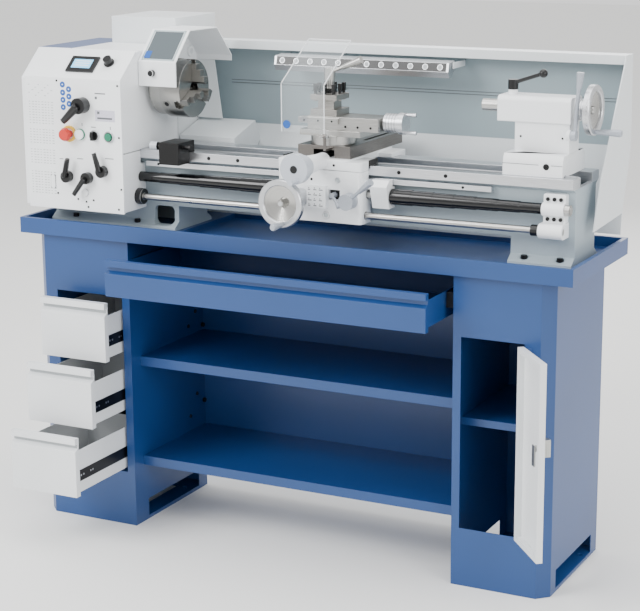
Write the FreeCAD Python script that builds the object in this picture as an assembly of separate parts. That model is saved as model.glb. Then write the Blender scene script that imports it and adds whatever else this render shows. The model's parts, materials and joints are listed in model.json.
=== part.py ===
import FreeCAD
import Part

import math
import os

from FreeCAD import Vector

os.makedirs("parts", exist_ok=True)

# A bench-height centre lathe on a blue sheet-metal stand. Millimetres.
# X runs along the bed from headstock to tailstock, Y away from the operator, Z up.
# The origin is on the floor, in the middle of the outer anchor holes, under the spindle axis.

# Fits and gaps
runFit = 0.05
slideGap = 0.3
partGap = 0.5

# Stand
standSheet = 2.5
standDepth = 396.0
standTop = 828.0
leftPedestalX = (-780.0, -472.0)
rightPedestalX = (496.0, 760.0)
pedestalChamfer = 30.0
toeHeight = 60.0
anchorX = 742.0
anchorY = 119.0
anchorHoleR = 7.0
innerAnchorX = (-505.0, 529.0)
drawerOpeningX = (-712.0, -496.0)
drawerOpeningZ = (158.0, 668.0)
drawerReveal = 2.0
drawerPull = {"top_drawer": 87.0, "middle_drawer": 163.0, "bottom_drawer": 249.0}
drawerDepth = 340.0
drawerFront = 18.0
drawerWall = 2.0
gripTop = 17.0
gripDepth = 13.0
gripHeight = 20.0
doorOpeningX = (518.0, 688.0)
doorOpeningZ = (158.0, 668.0)
doorAngle = 130.0
hingeBarrelR = 5.0
centreDrawerX = (-466.0, 474.0)
centreDrawerZ = (700.0, 799.0)
centreDrawerPull = 124.0
shelfTops = (196.0, 489.0)
shelfLip = 27.0
shelfFrontY = -150.0
cabinetShelfTop = 439.0

# Chip tray
trayX = 815.0
trayY = 218.0
trayTop = 872.0
trayHem = 12.0
platformTop = 845.0
leftPlatformEnd = -362.0
rightPlatformStart = 545.0

# Bed
bedX = (-790.0, 769.0)
bedFront = -100.0
bedBack = 99.0
bedTop = 1068.0
bedWebFront = -77.0
bedWebBack = 76.0
bedBottom = 912.0
railInner = 45.0
wayY = -62.0
wayHalf = 8.0
wayHeight = 4.5
ribSheet = 14.0
ribTop = 1003.0
leftFootEnd = -378.0
rightFootStart = 600.0

# Headstock
spindleZ = 1230.0
headX = (-700.0, -483.0)
headBack = 99.0
fasciaFront = -191.0
fasciaSheet = 5.0
fasciaX = (-797.0, -483.0)
fasciaBottom = 900.0
fasciaKink = 1266.0
headTop = 1337.0
slopeTopY = -108.0
gearboxTop = 1064.0
coverX = (-812.0, -702.0)
coverBack = 205.0
coverSheet = 3.0
cabinetX = (-697.0, -483.0)
cabinetY = (101.0, 322.0)
cabinetZ = (905.0, 1411.0)
spindleR = 30.0
spindleBoreR = 19.0
spindleFlangeR = 52.0
chuckR = 80.0
chuckX = (-464.0, -366.0)
chuckBoreR = 20.0
jawWidth = 20.0
jawInner = 14.0
motorAxis = (165.0, 985.0)
motorR = 52.0
motorPulleyR = 30.0
spindlePulleyR = 70.0
beltX = (-807.0, -792.0)
guardX = (-481.0, -362.0)
guardSheet = 3.0
guardPivot = (165.0, 1314.0)

# Feed shafts
screwAxis = (-103.0, 993.0)
screwR = 10.0
rodAxis = (-117.0, 940.0)
rodR = 9.0
bracketX = (693.0, 751.0)
coverThinR = 14.0
coverWideR = 21.0

# Carriage
saddleX = (-30.0, 214.0)
saddleFront = -143.0
saddleSeam = 1056.0
wingTop = 1080.0
bridgeTop = 1084.5
apronBottom = 919.0
carriageWheelAt = (38.0, 981.0)
carriageWheelY = -250.0
wheelR = 63.0
crossAxis = (95.0, 1078.0)
crossScrewR = 5.0
crossWheelR = 39.0
crossWheelY = -266.0
crossSlideX = (19.0, 171.0)
crossSlideY = (-120.0, 206.0)
crossSlideTop = 1116.0
postAt = (84.0, -62.0)
postSide = 76.0
swivelR = 60.0
topSlideX = (40.0, 243.0)
topSlideY = (-105.0, -19.0)
topSlideZ = (1155.3, 1190.0)
crankZ = 1177.0
shieldY = -160.0
shieldX = (-7.0, 118.0)

# Tailstock
tailBaseX = (577.0, 735.0)
tailBaseY = 84.0
tailBaseTop = 1122.0
barrelX = (545.0, 738.0)
barrelZ = (1196.0, 1261.0)
barrelHalf = 44.0
tailSplit = 1098.0
quillR = 15.2
quillX = (491.0, 690.0)

# Splash guard
guardSideX = 795.0
splashSheet = 3.0
splashLeft = -479.0


def box(x, y, z):
    """Axis-aligned block from three (low, high) pairs."""
    low = Vector(x[0], y[0], z[0])
    return Part.makeBox(x[1] - x[0], y[1] - y[0], z[1] - z[0], low)


def rodX(x, yz, radius):
    """Cylinder along X between two X values on the axis (y, z)."""
    return Part.makeCylinder(radius, x[1] - x[0], Vector(x[0], yz[0], yz[1]), Vector(1, 0, 0))


def rodY(y, xz, radius):
    """Cylinder along Y between two Y values on the axis (x, z)."""
    return Part.makeCylinder(radius, y[1] - y[0], Vector(xz[0], y[0], xz[1]), Vector(0, 1, 0))


def rodZ(z, xy, radius):
    """Cylinder along Z between two Z values on the axis (x, y)."""
    return Part.makeCylinder(radius, z[1] - z[0], Vector(xy[0], xy[1], z[0]), Vector(0, 0, 1))


def bar(start, end, radius, endRadius=None):
    """Round bar between two points, tapered when a second radius is given."""
    a = Vector(*start)
    run = Vector(*end) - a
    if endRadius is None:
        return Part.makeCylinder(radius, run.Length, a, run)
    return Part.makeCone(radius, endRadius, run.Length, a, run)


def coneY(y, xz, r):
    """Cone along Y with a radius at each end."""
    return Part.makeCone(r[0], r[1], y[1] - y[0], Vector(xz[0], y[0], xz[1]), Vector(0, 1, 0))


def coneX(x, yz, r):
    """Cone along X with a radius at each end."""
    return Part.makeCone(r[0], r[1], x[1] - x[0], Vector(x[0], yz[0], yz[1]), Vector(1, 0, 0))


def prismX(x, outline):
    """Outline of (y, z) points pushed along X."""
    points = [Vector(x[0], y, z) for y, z in outline]
    return Part.Face(Part.makePolygon(points + points[:1])).extrude(Vector(x[1] - x[0], 0, 0))


def prismY(y, outline):
    """Outline of (x, z) points pushed along Y."""
    points = [Vector(x, y[0], z) for x, z in outline]
    return Part.Face(Part.makePolygon(points + points[:1])).extrude(Vector(0, y[1] - y[0], 0))


def prismZ(z, outline):
    """Outline of (x, y) points pushed along Z."""
    points = [Vector(x, y, z[0]) for x, y in outline]
    return Part.Face(Part.makePolygon(points + points[:1])).extrude(Vector(0, 0, z[1] - z[0]))


def joined(*shapes):
    """One solid out of touching or overlapping shapes."""
    whole = shapes[0]
    for shape in shapes[1:]:
        whole = whole.fuse(shape)
    return whole.removeSplitter()


def cutAway(shape, *tools):
    """The shape without the tools."""
    for tool in tools:
        shape = shape.cut(tool)
    return shape


def rounded(shape, radius, test):
    """Fillet of the edges that pass the test."""
    edges = [edge for edge in shape.Edges if test(edge)]
    return shape.makeFillet(radius, edges)


def alongAxis(axis):
    """Test for straight edges parallel to X, Y or Z."""
    def test(edge):
        if edge.Curve.TypeId != "Part::GeomLine":
            return False
        return abs(getattr(edge.Curve.Direction, axis)) > 0.999
    return test


def sheetPath(x, path, thickness):
    """Bent sheet: the open (y, z) path, offset to its left by the thickness."""
    offset = []
    count = len(path)
    for i, (y, z) in enumerate(path):
        normals = []
        if i > 0:
            normals.append(normalOf(path[i - 1], path[i]))
        if i < count - 1:
            normals.append(normalOf(path[i], path[i + 1]))
        ny = sum(n[0] for n in normals)
        nz = sum(n[1] for n in normals)
        size = math.hypot(ny, nz)
        ny, nz = ny / size, nz / size
        stretch = thickness / (ny * normals[0][0] + nz * normals[0][1])
        offset.append((y + ny * stretch, z + nz * stretch))
    return prismX(x, path + offset[::-1])


def normalOf(a, b):
    """Left-hand unit normal of the segment a to b."""
    dy, dz = b[0] - a[0], b[1] - a[1]
    size = math.hypot(dy, dz)
    return (-dz / size, dy / size)


def save(name, *solids):
    """One STEP file for a sub-part, holding one or more solids."""
    shape = solids[0] if len(solids) == 1 else Part.makeCompound(list(solids))
    shape.exportStep(f"parts/{name}.step")


# ---------------------------------------------------------------- stand

def pedestalOutline(x, chamferLeft):
    """Plan outline of a pedestal with its outer front corner cut off."""
    front, back = -standDepth / 2, standDepth / 2
    c = pedestalChamfer
    if chamferLeft:
        return [(x[0] + c, front), (x[1], front), (x[1], back), (x[0], back), (x[0], front + c)]
    return [(x[0], front), (x[1] - c, front), (x[1], front + c), (x[1], back), (x[0], back)]


def insetOutline(outline, x, depth):
    """The same outline moved inwards by the depth."""
    middle = ((x[0] + x[1]) / 2, 0.0)
    half = ((x[1] - x[0]) / 2, standDepth / 2)
    scale = ((half[0] - depth) / half[0], (half[1] - depth) / half[1])
    return [(middle[0] + (px - middle[0]) * scale[0], py * scale[1]) for px, py in outline]


def pedestalShell(x, chamferLeft, openingX, openingZ, holeX):
    """Folded cabinet, open at the front and at the toe cut-outs, with floor flanges."""
    t = standSheet
    outline = pedestalOutline(x, chamferLeft)
    shell = prismZ((0, standTop), outline)
    inner = prismZ((4 * t, standTop - t), insetOutline(outline, x, t))
    shell = shell.cut(inner)
    flange = 60.0
    well = box((x[0] + flange, x[1] - flange), (-standDepth / 2 + flange, standDepth / 2 - flange),
               (-1, 4 * t + 1))
    shell = shell.cut(well)
    front = box(openingX, (-standDepth / 2 - 1, -standDepth / 2 + t + 1), openingZ)
    sideToe = box((x[0] - 1, x[1] + 1), (-130, 150), (4 * t, toeHeight))
    holes = [rodZ((-1, 4 * t + 1), (hx, hy), anchorHoleR) for hx in holeX for hy in (-anchorY, anchorY)]
    return cutAway(shell, front, sideToe, *holes)


def leftPedestal():
    """Drawer pedestal: shell plus the two liner sheets that carry the runners."""
    t = standSheet
    shell = pedestalShell(leftPedestalX, True, drawerOpeningX, drawerOpeningZ,
                          (-anchorX, innerAnchorX[0]))
    inside = (-standDepth / 2 + t / 2, standDepth / 2 - t / 2)
    height = (drawerOpeningZ[0] - 20, drawerOpeningZ[1] + 20)
    liners = [box((drawerOpeningX[0] - t, drawerOpeningX[0]), inside, height),
              box((drawerOpeningX[1], drawerOpeningX[1] + t), inside, height)]
    return joined(shell, *liners)


def drawerHeights():
    """Z range of each pedestal drawer front, from the top down."""
    low, high = drawerOpeningZ
    pitch = (high - low) / 3
    ranges = {}
    for i, name in enumerate(drawerPull):
        top = high - i * pitch
        ranges[name] = (top - pitch + drawerReveal, top - drawerReveal)
    return ranges


def grippedFront(x, y, z):
    """Drawer front with a finger channel folded into it near the top."""
    top, deep = z[1] - gripTop, y[0] + gripDepth
    channel = prismX((x[0] - 1, x[1] + 1), [(y[0] - 1, top), (deep, top), (deep, top - gripHeight + 8),
                                            (y[0] - 1, top - gripHeight)])
    return box(x, y, z).cut(channel)


def drawerBody(x, frontY, z, depth, boxHeight):
    """Open drawer: gripped front and a thin tray behind it."""
    w = drawerWall
    front = grippedFront(x, (frontY, frontY + drawerFront), z)
    bx = (x[0] + 6, x[1] - 6)
    by = (frontY + drawerFront, frontY + drawerFront + depth)
    bz = (z[0] + 8, z[0] + 8 + boxHeight)
    tray = box(bx, by, bz)
    hollow = box((bx[0] + w, bx[1] - w), (by[0], by[1] - w), (bz[0] + w, bz[1] + 1))
    return joined(front, tray.cut(hollow))


def pedestalDrawers():
    """Three drawers pulled out to different lengths, with their moving rails."""
    x = (drawerOpeningX[0] + drawerReveal, drawerOpeningX[1] - drawerReveal)
    for name, z in drawerHeights().items():
        frontY = -standDepth / 2 - drawerPull[name]
        body = drawerBody(x, frontY, z, drawerDepth, 120)
        railZ = (z[0] + 40, z[0] + 72)
        back = frontY + drawerFront + drawerDepth
        rails = [box((x[0] + 4.5, x[0] + 7), (frontY + drawerFront, back), railZ),
                 box((x[1] - 7, x[1] - 4.5), (frontY + drawerFront, back), railZ)]
        save(name, joined(body, *rails))


def drawerRunners():
    """Fixed rails of the four drawers."""
    solids = []
    inside = (-standDepth / 2 + drawerFront + 2, standDepth / 2 - 20)
    for z in drawerHeights().values():
        railZ = (z[0] + 38, z[0] + 74)
        solids.append(box((drawerOpeningX[0], drawerOpeningX[0] + 6), inside, railZ))
        solids.append(box((drawerOpeningX[1] - 6, drawerOpeningX[1]), inside, railZ))
    railZ = (centreDrawerZ[0] + 35, centreDrawerZ[0] + 75)
    solids.append(box((leftPedestalX[1], centreDrawerX[0] + 5.5), inside, railZ))
    solids.append(box((centreDrawerX[1] - 5.5, rightPedestalX[0]), inside, railZ))
    return solids


def hingeZs():
    """Z ranges of the two cabinet door hinges."""
    low, high = doorOpeningZ
    return [(low + 9, low + 63), (high - 63, high - 9)]


def hingeAxis():
    """Plan position of the cabinet door's hinge pin."""
    return (doorOpeningX[1] + 3, -standDepth / 2 - hingeBarrelR - 0.5)


def rightPedestal():
    """Cabinet pedestal with the fixed half of its door hinges."""
    t = standSheet
    shell = pedestalShell(rightPedestalX, False, doorOpeningX, doorOpeningZ,
                          (innerAnchorX[1], anchorX))
    axis = hingeAxis()
    parts = [shell]
    for low, high in hingeZs():
        third = (high - low) / 3
        parts.append(rodZ((low, low + third), axis, hingeBarrelR))
        parts.append(rodZ((high - third, high), axis, hingeBarrelR))
        parts.append(rodZ((low, high), axis, 3))
        for span in ((low, low + third), (high - third, high)):
            parts.append(box((axis[0], axis[0] + 16), (axis[1] + 3, -standDepth / 2 + 0.1), span))
    return joined(*parts)


def cabinetDoor():
    """Folded door, swung open about its hinge pins."""
    axis = hingeAxis()
    x = (doorOpeningX[0] + 2, doorOpeningX[1] - 3)
    front = -standDepth / 2
    z = (doorOpeningZ[0] + 2, doorOpeningZ[1] - 2)
    panel = box(x, (front, front + 16), z)
    hollow = box((x[0] + 14, x[1] - 14), (front + 2, front + 17), (z[0] + 14, z[1] - 14))
    panel = panel.cut(hollow)
    parts = [panel]
    for low, high in hingeZs():
        third = (high - low) / 3
        span = (low + third + partGap, high - third - partGap)
        barrel = rodZ(span, axis, hingeBarrelR)
        leaf = box((axis[0] - 16, axis[0]), (axis[1] + 3, front - slideGap), span)
        pad = box((axis[0] - 16, x[1]), (axis[1] + 4, front + 0.1), span)
        parts.append(joined(barrel, leaf, pad).cut(rodZ(span, axis, 3 + runFit)))
    door = joined(*parts)
    latchX, latchZ = doorLatch()
    door = door.cut(rodY((front - 1, front + 3), (latchX, latchZ), 8 + runFit))
    door.rotate(Vector(axis[0], axis[1], 0), Vector(0, 0, 1), doorAngle)
    return door


def doorLatch():
    """Position of the latch on the closed door, as (x, z)."""
    return (doorOpeningX[0] + 30, 447.0)


def doorLock():
    """Quarter-turn latch: handle outside, spindle, cam arm inside."""
    axis = hingeAxis()
    front = -standDepth / 2
    x, z = doorLatch()
    stem = rodY((front - 4, front + 18), (x, z), 8)
    handle = box((x - 9, x + 9), (front - 22, front - 3), (z - 22, z + 22))
    cam = box((x - 9, x + 9), (front + 17, front + 20), (z - 44, z + 9))
    lock = joined(stem, handle, cam)
    lock.rotate(Vector(axis[0], axis[1], 0), Vector(0, 0, 1), doorAngle)
    return lock


def centreDrawer():
    """Wide shallow drawer under the chip tray."""
    frontY = -standDepth / 2 - centreDrawerPull
    return drawerBody(centreDrawerX, frontY, centreDrawerZ, 358, 70)


def standShelves():
    """Two folded shelves between the pedestals and one inside the cabinet."""
    t = standSheet
    back = standDepth / 2 - t
    solids = []
    for top in shelfTops:
        block = box((leftPedestalX[1], rightPedestalX[0]), (shelfFrontY, back), (top - shelfLip, top))
        hollow = box((leftPedestalX[1] - 1, rightPedestalX[0] + 1), (shelfFrontY + t, back + 1),
                     (top - shelfLip - 1, top - t))
        solids.append(block.cut(hollow))
    inside = (rightPedestalX[0] + t, rightPedestalX[1] - t)
    solids.append(box(inside, (-140, back), (cabinetShelfTop - 20, cabinetShelfTop)))
    return solids


def backPanel():
    """Rear sheet between the pedestals, with two stiffening ribs."""
    t = standSheet
    back = standDepth / 2
    sheet = box((leftPedestalX[1], rightPedestalX[0]), (back - t, back), (80, standTop - 5))
    ribs = [box((leftPedestalX[1] + 60, rightPedestalX[0] - 60), (back, back + 6), (z, z + 30))
            for z in (330, 620)]
    return joined(sheet, *ribs)


def chipTray():
    """Rimmed tray with a raised platform at each end and a lower middle."""
    outer = box((-trayX, trayX), (-trayY, trayY), (standTop, trayTop))
    inX = (-trayX + trayHem, trayX - trayHem)
    inY = (-trayY + trayHem, trayY - trayHem)
    floor = 3.0
    middle = box((leftPlatformEnd, rightPlatformStart), inY, (standTop + floor, trayTop + 1))
    left = box((inX[0], leftPlatformEnd), inY, (platformTop, trayTop + 1))
    right = box((rightPlatformStart, inX[1]), inY, (platformTop, trayTop + 1))
    under = [box((inX[0], leftPlatformEnd - floor), inY, (standTop - 1, platformTop - floor)),
             box((rightPlatformStart + floor, inX[1]), inY, (standTop - 1, platformTop - floor))]
    return cutAway(outer, middle, left, right, *under)


# ---------------------------------------------------------------- bed

def bedOutline():
    """Section of one bed wall: wide flat way on top of a thinner web."""
    front = [(bedFront, bedTop), (bedFront, bedTop - 24), (bedWebFront, bedTop - 34),
             (bedWebFront, bedBottom), (bedWebFront + 22, bedBottom), (-railInner - 8, bedTop - 34),
             (-railInner, bedTop - 26), (-railInner, bedTop)]
    back = [(bedBack, bedTop), (bedBack, bedTop - 24), (bedWebBack, bedTop - 34),
            (bedWebBack, bedBottom), (bedWebBack - 22, bedBottom), (railInner + 8, bedTop - 34),
            (railInner, bedTop - 26), (railInner, bedTop)]
    return front, back


def foot(x, archX):
    """Hollow cast foot with a flared base and an arched window at the front."""
    section = [(bedWebFront, bedBottom + 12), (bedWebFront, platformTop + 24),
               (bedFront, platformTop + 8), (bedFront, platformTop), (bedBack, platformTop),
               (bedBack, platformTop + 8), (bedWebBack, platformTop + 24), (bedWebBack, bedBottom + 12)]
    block = prismX(x, section)
    hollow = box((x[0] + 14, x[1] - 14), (bedWebFront + 14, bedWebBack - 14),
                 (platformTop - 1, bedBottom - 4))
    block = block.cut(hollow)
    window = box(archX, (bedFront - 1, bedWebFront + 15), (platformTop + 12, bedBottom - 2))
    window = rounded(window, 14, alongAxis("y"))
    return block.cut(window)


def bedCasting():
    """Two rails on webs, cross ribs, end walls and the two feet."""
    front, back = bedOutline()
    parts = [prismX(bedX, front), prismX(bedX, back)]
    way = [(wayY - wayHalf - 1, bedTop - 1), (wayY - wayHalf, bedTop), (wayY, bedTop + wayHeight),
           (wayY + wayHalf, bedTop), (wayY + wayHalf + 1, bedTop - 1)]
    parts.append(prismX((headX[1] + 5, bedX[1]), way))
    across = (bedWebFront + 1, bedWebBack - 1)
    for x in (-640, -500, -330, -150, 30, 210, 390, 560):
        parts.append(box((x, x + ribSheet), across, (bedBottom, ribTop)))
    for x in (bedX[0], bedX[1] - ribSheet):
        parts.append(box((x, x + ribSheet), across, (bedBottom, bedTop - 26)))
    parts.append(foot((bedX[0], leftFootEnd), (-456, -392)))
    parts.append(foot((rightFootStart, bedX[1]), (bedX[1] - 75, bedX[1] - 45)))
    rack = box((-470, 552), (bedWebFront - 17, bedWebFront), (bedTop - 46, bedTop - 32))
    parts.append(rack)
    spotFaces = [rodZ((platformTop + 14, platformTop + 40), at, 10) for at in footBolts()]
    return cutAway(joined(*parts), *spotFaces)


def screwBracket():
    """Outboard bearing plate of the leadscrew and feed rod."""
    x = bracketX
    plate = box(x, (bedWebFront - 23, bedWebFront), (955, 1031))
    plate = rounded(plate, 5, alongAxis("y"))
    barrel = rodX((x[0] - 3, x[1] + 2), rodAxis, 19)
    web = box((x[0] - 3, x[1] + 2), (rodAxis[0], bedWebFront), (rodAxis[1] - 19, rodAxis[1] + 19))
    nose = rodX(x, screwAxis, 17)
    body = joined(plate, barrel, web, nose)
    return cutAway(body, rodX((x[0] - 5, x[1] + 5), screwAxis, screwR + runFit),
                   rodX((x[0] - 5, x[1] + 5), rodAxis, rodR + runFit))


def footBolts():
    """Plan positions of the bolts that hold the bed down on the tray."""
    return [(x, y) for x in (-714, -508, 640, 735) for y in (-88, 88)]


def anchorBolts():
    """Cap screws: feet to tray, bracket to bed, shelves to pedestals."""
    solids = [rodZ((platformTop + 14, platformTop + 24), at, 8) for at in footBolts()]
    for x in (705, 722, 739):
        for z in (1018, 968):
            solids.append(rodY((bedWebFront - 27, bedWebFront - 23), (x, z), 5))
    for y, z in ((188, 503), (164, 466), (188, 270), (164, 172)):
        solids.append(rodX((leftPedestalX[1], leftPedestalX[1] + 6), (y, z), 7))
    return solids


# ---------------------------------------------------------------- headstock

def headProfile(front, back, bottom, top, kink, topY):
    """Side outline with the sloped display face at the top front."""
    return [(front, bottom), (front, kink), (topY, top), (back, top), (back, bottom)]


def headstock():
    """Spindle housing: cast box with bearing bores and a recess behind the fascia."""
    front = fasciaFront + fasciaSheet
    outline = headProfile(front, headBack, bedTop - 2, headTop, fasciaKink - 3, slopeTopY + 9)
    body = prismX(headX, outline)
    wall = 14.0
    recess = prismX((headX[0] + wall, headX[1] - wall),
                    headProfile(front - 1, -128, gearboxTop + 16, headTop - 22, fasciaKink - 8, -130))
    cavity = box((headX[0] + 45, headX[1] - 45), (-108, headBack - wall), (bedTop + 22, headTop - 18))
    slot = box((headX[0] - 1, headX[1] + 1), (front - 1, bedFront), (0, gearboxTop + 1.5))
    bore = rodX((headX[0] - 1, headX[1] + 1), (0, spindleZ), spindleR + runFit)
    saddle = prismX((headX[0] - 1, headX[1] + 1),
                    [(bedFront - 0.1, 0), (bedFront - 0.1, bedTop), (bedBack + 1, bedTop), (bedBack + 1, 0)])
    return cutAway(body, recess, cavity, slot, bore, saddle)


def leverHubs():
    """Feed gearbox levers: name to (hub x, hub z, tip x, tip z)."""
    return {"left_gear_lever": (-662, 994, -649, 1046), "middle_gear_lever": (-596, 994, -633, 947),
            "right_gear_lever": (-546, 1015, -562, 1067)}


def feedGearbox():
    """Closed box in front of the bed that drives the leadscrew and feed rod."""
    body = box(headX, (fasciaFront + fasciaSheet, bedFront - 0.1), (fasciaBottom + 3, gearboxTop))
    lower = box(headX, (bedFront - 0.2, bedWebFront), (fasciaBottom + 3, bedTop - 40))
    body = joined(body, lower)
    holes = [rodY((fasciaFront, fasciaFront + 24), (hub[0], hub[1]), 7 + runFit)
             for hub in leverHubs().values()]
    ends = [rodX((headX[1] - 30, headX[1] + 1), screwAxis, screwR + runFit),
            rodX((headX[1] - 30, headX[1] + 1), rodAxis, rodR + runFit)]
    return cutAway(body, *holes, *ends)


def slopePoint(along, out):
    """(y, z) on the sloped display face: distance up the slope and distance off it."""
    run = (slopeTopY - fasciaFront, headTop - fasciaKink)
    size = math.hypot(*run)
    up = (run[0] / size, run[1] / size)
    off = (-up[1], up[0])
    return (fasciaFront + up[0] * along + off[0] * out, fasciaKink + up[1] * along + off[1] * out)


def slopeRod(x, along, span, radius):
    """Cylinder square to the sloped face, from one distance off it to another."""
    low, high = slopePoint(along, span[0]), slopePoint(along, span[1])
    return bar((x, low[0], low[1]), (x, high[0], high[1]), radius)


def slopeBox(x, along, out):
    """Block lying on the sloped face."""
    corners = [slopePoint(along[0], out[0]), slopePoint(along[1], out[0]),
               slopePoint(along[1], out[1]), slopePoint(along[0], out[1])]
    return prismX(x, corners)


def frontPanel():
    """Bent fascia with its holes, the display housing and the power lamp."""
    path = [(fasciaFront, fasciaBottom), (fasciaFront, fasciaKink), (slopeTopY, headTop)]
    sheet = sheetPath(fasciaX, path, -fasciaSheet)
    holes = [rodY((fasciaFront - 1, fasciaFront + 6), (hub[0], hub[1]), 7 + runFit)
             for hub in leverHubs().values()]
    for x, z, r in ((-604, 1194, 9), (-653, 1113, 10), (-571, 1112, 7), (-523, 1111, 10)):
        holes.append(rodY((fasciaFront - 1, fasciaFront + 6), (x, z), r + runFit))
    holes.append(slopeRod(-545, 60, (-8, 1), 6 + runFit))
    sheet = cutAway(sheet, *holes)
    display = slopeBox((-668, -584), (24, 76), (-0.1, 4))
    lamp = rodY((fasciaFront - 9, fasciaFront + 0.1), (-618, 1113), 14)
    rings = [rodY((fasciaFront - 3, fasciaFront + 0.1), (x, z), r).cut(
        rodY((fasciaFront - 4, fasciaFront + 1), (x, z), r - 4.5))
        for x, z, r in ((-653, 1113, 19), (-571, 1112, 15), (-523, 1111, 16))]
    glass = box((-721, -707), (fasciaFront - 2, fasciaFront + 0.1), (957, 995))
    glass = rounded(glass, 6.5, alongAxis("y"))
    plug = rodY((fasciaFront - 6, fasciaFront + 0.1), (-608, 952), 10)
    return joined(sheet, display, lamp, *rings, glass, plug)


def endGearCover():
    """Sheet hood over the drive belt and change gears at the left end."""
    front = fasciaFront + fasciaSheet + 1.5
    outer = prismX(coverX, headProfile(front, coverBack, 905, headTop, fasciaKink - 5, slopeTopY + 11))
    s = coverSheet
    inner = prismX((coverX[0] + s, coverX[1] + 1),
                   headProfile(front + s, coverBack - s, 905 + s, headTop - s, fasciaKink - 7, slopeTopY + 13))
    shell = outer.cut(inner)
    bedSlot = box((bedX[0] - 4, coverX[1] + 1), (bedFront - 4, bedBack + 4), (904, 910))
    return cutAway(shell, bedSlot)


def electricsCabinet():
    """Box behind the headstock that holds the motor and the electrics."""
    outer = box(cabinetX, cabinetY, cabinetZ)
    s = 2.0
    inner = box((cabinetX[0] + s, cabinetX[1] - s), (cabinetY[0] + s, cabinetY[1] - s),
                (cabinetZ[0] + s, cabinetZ[1] - s))
    hole = rodX((cabinetX[0] - 1, cabinetX[0] + s + 1), motorAxis, 22)
    pin = rodX((cabinetX[1] - s, cabinetX[1] + 9), guardPivot, 8)
    return joined(cutAway(outer, inner, hole), pin)


def driveMotor():
    """Motor with its pulley and the belt to the spindle, as three solids."""
    body = rodX((cabinetX[0] + 8, cabinetX[1] - 40), motorAxis, motorR)
    base = box((cabinetX[0] + 20, cabinetX[1] - 60), (motorAxis[0] - 40, motorAxis[0] + 40),
               (cabinetZ[0] + 2, motorAxis[1] - motorR + 8))
    shaft = rodX((beltX[1], cabinetX[0] + 10), motorAxis, 9)
    motor = joined(body, base, shaft)
    pulley = rodX(beltX, motorAxis, motorPulleyR)
    return [motor, pulley, driveBelt()]


def beltLoop(grow, x):
    """Solid hull of the two pulleys, grown by a margin."""
    a, b = (motorAxis, motorPulleyR + grow), ((0.0, spindleZ), spindlePulleyR + grow)
    (ay, az), ar = a
    (by, bz), br = b
    run = math.hypot(by - ay, bz - az)
    heading = math.atan2(bz - az, by - ay)
    lean = math.acos((ar - br) / run)
    points = []
    for sign in (1, -1):
        angle = heading + sign * lean
        points.append((ay + ar * math.cos(angle), az + ar * math.sin(angle)))
        points.append((by + br * math.cos(angle), bz + br * math.sin(angle)))
    quad = prismX(x, [points[0], points[1], points[3], points[2]])
    return joined(quad, rodX(x, a[0], ar), rodX(x, b[0], br))


def driveBelt():
    """Flat loop around both pulleys."""
    x = (beltX[0] + 2, beltX[1] - 2)
    return beltLoop(5 + slideGap, x).cut(beltLoop(slideGap, (x[0] - 1, x[1] + 1)))


def spindle():
    """Hollow spindle with its nose flange and belt pulley."""
    shaft = rodX((beltX[0] - 1, headX[1] + 2), (0, spindleZ), spindleR)
    pulley = rodX(beltX, (0, spindleZ), spindlePulleyR)
    nose = rodX((headX[1] + 1, chuckX[0]), (0, spindleZ), spindleFlangeR)
    return joined(shaft, pulley, nose).cut(rodX((beltX[0] - 2, chuckX[0] + 1), (0, spindleZ), spindleBoreR))


def turned(shape, degrees):
    """Copy of a shape turned about the spindle axis."""
    copy = shape.copy()
    copy.rotate(Vector(0, 0, spindleZ), Vector(1, 0, 0), degrees)
    return copy


def chuckBody():
    """Three-jaw chuck body with radial jaw slots and a key socket."""
    back = rodX((chuckX[0], chuckX[0] + 34), (0, spindleZ), chuckR - 5)
    body = rodX((chuckX[0] + 34, chuckX[1]), (0, spindleZ), chuckR)
    whole = joined(back, body).cut(rodX((chuckX[0] - 1, chuckX[1] + 1), (0, spindleZ), chuckBoreR))
    for i in range(3):
        half = jawWidth / 2 + slideGap
        slot = box((chuckX[1] - 20 - slideGap, chuckX[1] + 1), (-half, half), (spindleZ, spindleZ + chuckR + 1))
        wide = box((chuckX[1] - 14, chuckX[1] - 8), (-half - 3, half + 3), (spindleZ, spindleZ + chuckR + 1))
        whole = cutAway(whole, turned(slot, 120 * i), turned(wide, 120 * i))
        socket = Part.makeCylinder(7, 24, Vector(chuckX[0] + 58, 0, spindleZ + chuckR - 22), Vector(0, 0, 1))
        whole = whole.cut(turned(socket, 120 * i + 60))
    return whole


def chuckJaw(i):
    """Stepped jaw: guided foot in the slot and three gripping steps."""
    face = chuckX[1]
    half = jawWidth / 2
    base = spindleZ + jawInner
    foot = box((face - 20, face + 14), (-half, half), (base, base + 54))
    rib = box((face - 14 + slideGap, face - 8 - slideGap), (-half - 3 + slideGap, half + 3 - slideGap),
              (base + 8, base + 54))
    step1 = box((face + 13, face + 26), (-half, half), (base, base + 38))
    step2 = box((face + 25, face + 38), (-half, half), (base, base + 20))
    jaw = joined(foot, rib, step1, step2)
    nose = prismX((face - 21, face + 39), [(-half - 1, base - 1), (-half - 1, base + 7), (0, base - 1)])
    mirrored = prismX((face - 21, face + 39), [(half + 1, base - 1), (0, base - 1), (half + 1, base + 7)])
    return turned(cutAway(jaw, nose, mirrored), 120 * i)


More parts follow.
